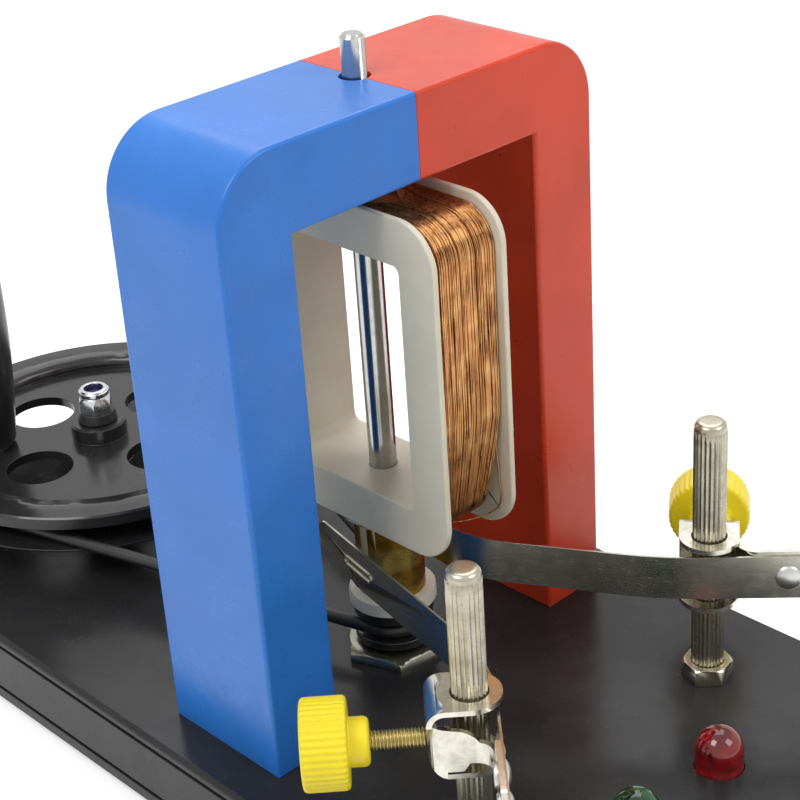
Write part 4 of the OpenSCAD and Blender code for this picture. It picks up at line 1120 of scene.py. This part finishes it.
@dataclass
class Lamps(Assembly):
    """Red and green lamps with a cup and two leads that show through the lens."""

    flange: float = 1.0
    overhang: float = 0.7
    edge: float = 0.2
    cup_depth: float = 7.5

    def lens(self, node: str) -> np.ndarray:
        """Surface of one lens: a cylinder with a flange at its foot and a round dome."""
        low, high = self.box(node)
        middle = self.middle(node)
        rim = (high - low)[0] / 2
        r = rim - self.overhang
        foot, top, dome = low[2], low[2] + self.flange, high[2] - r
        t = np.linspace(0, np.pi / 2, 24, endpoint=False)
        profile = np.concatenate([
            [[0.2, foot], [rim - self.edge, foot], [rim, foot + self.edge],
             [rim, top - self.edge], [rim - self.edge, top], [r + 0.1, top], [r, top + 0.1]],
            np.stack([r * np.cos(t), dome + r * np.sin(t)], 1), [[0.05, high[2]]]])
        return revolve(profile, centre=(middle[0], middle[1], 0))

    def cup(self, node: str) -> tuple[np.ndarray, np.ndarray]:
        """Reflector cup on its lead and the thinner lead beside it."""
        middle, high = self.middle(node), self.box(node)[1]
        base = high[2] - self.cup_depth
        cup = np.array([[0.1, 0], [0.45, 0], [0.5, 2.2], [1.35, 3.0], [1.5, 4.0], [1.3, 4.0],
                        [0.7, 3.3], [0.1, 3.25]])
        lead = np.array([[0.1, 0], [0.35, 0], [0.35, 3.4], [0.1, 3.6]])
        return (revolve(cup, 32, (middle[0] - 0.9, middle[1], base)),
                revolve(lead, 16, (middle[0] + 1.6, middle[1], base)))

    def build(self) -> None:
        """Builds the lamps."""
        for node in ("lamp_red", "lamp_green"):
            self.write(f"{node}_dome", node, self.lens(node), sharp=50)
            self.write(f"{node}_cup", node, *self.cup(node), slot="lead_tin")
        self.dress(self.frame["nodes"]["lamp_leads"].data, self.slot_of("lamp_leads"))


@dataclass
class BrushHolder(Assembly):
    """Brush of one side: clamp on the post, strip, rivets, clamping screw and knob."""

    side: Side
    angle: float
    lean: float
    post: tuple[float, float] = (77.0, 36.0)
    screw_z: float = 46.8
    strip_z: float = 49.45
    knob_d: float = 18.0
    knob_t: float = 9.0
    ribs: int = 40
    rib_depth: float = 0.24
    hub_d: float = 9.6
    hub_l: float = 4.0
    knob_u: float = 23.3
    screw_d: float = 4.0
    pitch: float = 0.7
    thread_depth: float = 0.32
    thread_sides: int = 36
    tip_u: float = 3.65
    rivet_d: float = 5.6
    rivet_h: float = 1.1
    rivet_v: tuple[float, float] = (16.0, 25.0)
    strip_front: float = 5.25
    grasp: float = 1.6

    def lay(self, rows: np.ndarray, height: float, across: float = 0.0,
            lean: float = 0.0) -> np.ndarray:
        """Lays a surface made round an upright axis along the screw, growing towards the post.

        Args:
            rows: Its points.
            height: Height of its axis once it lies.
            across: Distance of the axis beside the screw's.
            lean: Further turn back about the post in degrees.

        Returns:
            The points turned about the post by the clamp's angle, mirrored on the red side.
        """
        turn = math.radians(self.angle - lean)
        u, v = rows[..., 2], rows[..., 1] - across
        x = self.post[0] + u * math.cos(turn) - v * math.sin(turn)
        y = -self.post[1] + u * math.sin(turn) + v * math.cos(turn)
        return np.stack([x, y * -self.side.value, height - rows[..., 0]], -1)

    def screw(self) -> np.ndarray:
        """Surface of the threaded screw.

        Returns:
            Rows of points: the radius falls from the crest by the thread's depth times a
            blunt zigzag of the height over the pitch less the share of the turn.
        """
        start, end = -self.knob_u - self.knob_t + 2, -self.tip_u
        rows = np.arange(start, end, self.pitch / 10)
        points = revolve(np.stack([np.ones(len(rows)), rows], 1), self.thread_sides)
        turned = np.arange(self.thread_sides) / self.thread_sides
        phase = (rows[:, None] / self.pitch - turned) % 1.0
        groove = np.clip(np.abs(phase - 0.5) * 2.6 - 0.25, 0, 1)
        tip = np.clip((end - rows) / 0.8, 0.3, 1)[:, None]
        radius = (self.screw_d / 2 - self.thread_depth * groove) * (0.6 + 0.4 * tip)
        points[..., :2] *= radius[..., None]
        return self.lay(points, self.screw_z)

    def knob(self) -> np.ndarray:
        """Surface of the ribbed knob with its collar.

        Returns:
            Rows of points. The grooves between the ribs fade out where the rim rounds over to
            the faces.
        """
        r, t = self.knob_d / 2, self.knob_t
        hub, end = self.hub_d / 2, t + self.hub_l
        corners = [(0.2, 0.25), (r * 0.62, 0.25), (r * 0.66, 0), (r, 0), (r, t), (hub, t),
                   (hub, end), (self.screw_d / 2, end)]
        profile = rounded(corners, [0, 0.2, 0.2, 1.1, 1.1, 0.4, 1.3, 0], 7)
        steps = np.linspace(0, 1, 7)[:, None]
        walls = [profile[:1]]
        for a, b in zip(profile[:-1], profile[1:]):
            long = np.linalg.norm(b - a) > 1.2
            walls.append(a + (steps[1:] if long else steps[-1:]) * (b - a))
        profile = np.concatenate(walls)
        share = self.rib_depth / r * np.clip((profile[:, 0] - r + 0.8) / 0.8, 0, 1)
        rows = fluted(profile + np.array([0, -self.knob_u - t]), self.ribs, share, 1.3)
        return self.lay(rows, self.screw_z)

    def rivets(self) -> list[np.ndarray]:
        """Two rivets: domed heads on the strip and flat ones behind the clamp."""
        r = self.rivet_d / 2
        t = np.linspace(0, np.pi / 2, 10, endpoint=False)
        front, back = self.strip_front, self.strip_front - self.grasp
        dome = np.stack([r * np.cos(t), front + self.rivet_h * np.sin(t) ** 1.2], 1)
        profile = np.concatenate([[[0.1, back - 0.6], [r - 0.5, back - 0.6], [r - 0.3, back - 0.4],
                                   [r - 0.3, back], [1.2, back], [1.2, front], [r - 0.05, front]],
                                  dome, [[0.05, front + self.rivet_h]]])
        return [self.lay(revolve(profile, 40), self.strip_z, v, self.lean)
                for v in self.rivet_v]

    def build(self) -> None:
        """Builds the brush holder."""
        word = f"{self.side.word}_side"
        self.soften_each(tight=True, **{f"clamp_{word}": 0.16, f"strip_{word}": 0.08})
        self.write(f"rivets_{word}_domed", f"rivets_{word}", *self.rivets(), sharp=50)
        self.write(f"screw_{word}_threaded", f"screw_{word}", self.screw(), sharp=70)
        self.write(f"knob_{word}_ribbed", f"knob_{word}", self.knob(), sharp=60)


# Camera and studio


@dataclass(frozen=True)
class View:
    """Camera of the photograph: its place, its two angles, its roll and its focal length."""

    place: Point = (289.056, -240.911, 272.909)
    azimuth: float = 47.768
    elevation: float = 27.591
    roll: float = -3.929
    focal: float = 1935.564
    frame: float = 800.0

    def axes(self) -> Matrix:
        """Turn of the camera: right, up and back as columns."""
        az, el, roll = (math.radians(a) for a in (self.azimuth, self.elevation, self.roll))
        back = Vector((math.sin(az) * math.cos(el), -math.cos(az) * math.cos(el), math.sin(el)))
        right = (-back).cross(Vector((0, 0, 1))).normalized()
        up = right.cross(-back)
        turned = math.cos(roll) * right + math.sin(roll) * up
        over = -math.sin(roll) * right + math.cos(roll) * up
        return Matrix((turned, over, back)).transposed()

    def build(self) -> None:
        """Makes the camera and the scene's view settings."""
        lens = bpy.data.cameras.new("camera")
        lens.sensor_width = SENSOR
        lens.lens = self.focal / self.frame * SENSOR
        lens.clip_start, lens.clip_end = 0.01, 20.0
        camera = enter("camera", lens)
        camera.matrix_world = (Matrix.Translation(Vector(self.place) * MM)
                               @ self.axes().to_4x4())
        bpy.context.scene.camera = camera
        bpy.context.scene.view_settings.view_transform = "Standard"
        log.info("camera: %.1f mm lens", lens.lens)


@dataclass(frozen=True)
class Softbox:
    """A square lamp that looks at the middle of the object from a direction of the camera."""

    name: str
    toward: Point
    distance: float
    size: float
    power: float

    def build(self, view: View, middle: Vector) -> None:
        """Makes the lamp.

        Args:
            view: Camera whose right, up and back the direction counts from.
            middle: Point that the lamp looks at, in metres.
        """
        direction = (view.axes() @ Vector(self.toward)).normalized()
        data = bpy.data.lights.new(self.name, "AREA")
        data.shape = "SQUARE"
        data.size = self.size
        data.energy = self.power
        lamp = enter(self.name, data)
        lamp.matrix_world = (Matrix.Translation(middle + direction * self.distance)
                             @ direction.to_track_quat("Z", "Y").to_matrix().to_4x4())
        log.info("%s: %.2f W", self.name, self.power)


@dataclass(frozen=True)
class Studio:
    """White table and surroundings with soft lamps."""

    softboxes: tuple[Softbox, ...] = (
        Softbox("softbox_left", (-0.48, 0.48, 0.73), 0.7, 0.32, 2.1),
        Softbox("softbox_right", (0.634, 0.468, 0.62), 1.1, 0.5, 3.2),
        Softbox("softbox_top", (0.0, 0.95, -0.1), 1.2, 0.9, 5.5),
    )
    ambient: float = 0.5
    floor_size: float = 6.0
    floor_grey: float = 0.8
    floor_glow: float = 0.5

    def seen_directly(self, tree: Tree) -> Socket:
        """Value that is 1 for rays of the camera, of gloss and of clear pieces."""
        path = tree.add("LightPath").outputs
        total = path["Is Camera Ray"]
        for name in ("Is Glossy Ray", "Is Transmission Ray"):
            total = tree.math("MAXIMUM", total, path[name])
        return total

    def surroundings(self) -> None:
        """Makes the world: white where it is seen, dimmer as light on the object."""
        world = bpy.data.worlds.new("surroundings")
        tree = Tree(world)
        dim, white = (tree.add("Background", {"Color": WHITE, "Strength": strength}).outputs[0]
                      for strength in (self.ambient, 1.0))
        mix = tree.add("MixShader", {"Fac": self.seen_directly(tree), 1: dim, 2: white})
        tree.add("OutputWorld", {"Surface": mix.outputs["Shader"]})
        bpy.context.scene.world = world

    def floor(self) -> None:
        """Makes the table: a white sheet that keeps the object's shadow."""
        half = self.floor_size / 2
        mesh = bpy.data.meshes.new("table")
        mesh.from_pydata([(-half, -half, 0), (half, -half, 0), (half, half, 0), (-half, half, 0)],
                         [], [(0, 1, 2, 3)])
        material = bpy.data.materials.new("table_white")
        tree = Tree(material)
        grey = self.floor_grey
        matt = tree.add("BsdfDiffuse", {"Color": (grey, grey, grey, 1)})
        strength = tree.math("MULTIPLY", self.seen_directly(tree), self.floor_glow)
        glow = tree.add("Emission", {"Color": WHITE, "Strength": strength})
        both = tree.add("AddShader", {0: matt.outputs["BSDF"], 1: glow.outputs["Emission"]})
        tree.add("OutputMaterial", {"Surface": both.outputs["Shader"]})
        mesh.materials.append(material)
        table = enter("table", mesh)
        table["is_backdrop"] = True

    def build(self, view: View) -> None:
        """Builds the studio.

        Args:
            view: Camera that the softboxes' directions count from.
        """
        self.surroundings()
        self.floor()
        low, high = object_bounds()
        middle = (Vector(low) + Vector(high)) / 2
        for softbox in self.softboxes:
            softbox.build(view, middle)


def main() -> None:
    """Builds the whole scene."""
    logging.basicConfig(level=logging.INFO, format="%(name)s: %(message)s")
    view = View()
    view.build()
    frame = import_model()
    finishes = Finishes()
    Studio().build(view)
    plain = (Base, Magnet, Rotor, Winding, Drive, Handle, Posts, Lamps)
    for assembly in (
        *(kind(frame, finishes) for kind in plain),
        BrushHolder(frame, finishes, Side.BLUE, 47.8, 0.0),
        BrushHolder(frame, finishes, Side.RED, 52.4, 4.6),
    ):
        assembly.build()
        log.info("%s is built", type(assembly).__name__)


if __name__ == "__main__":
    main()
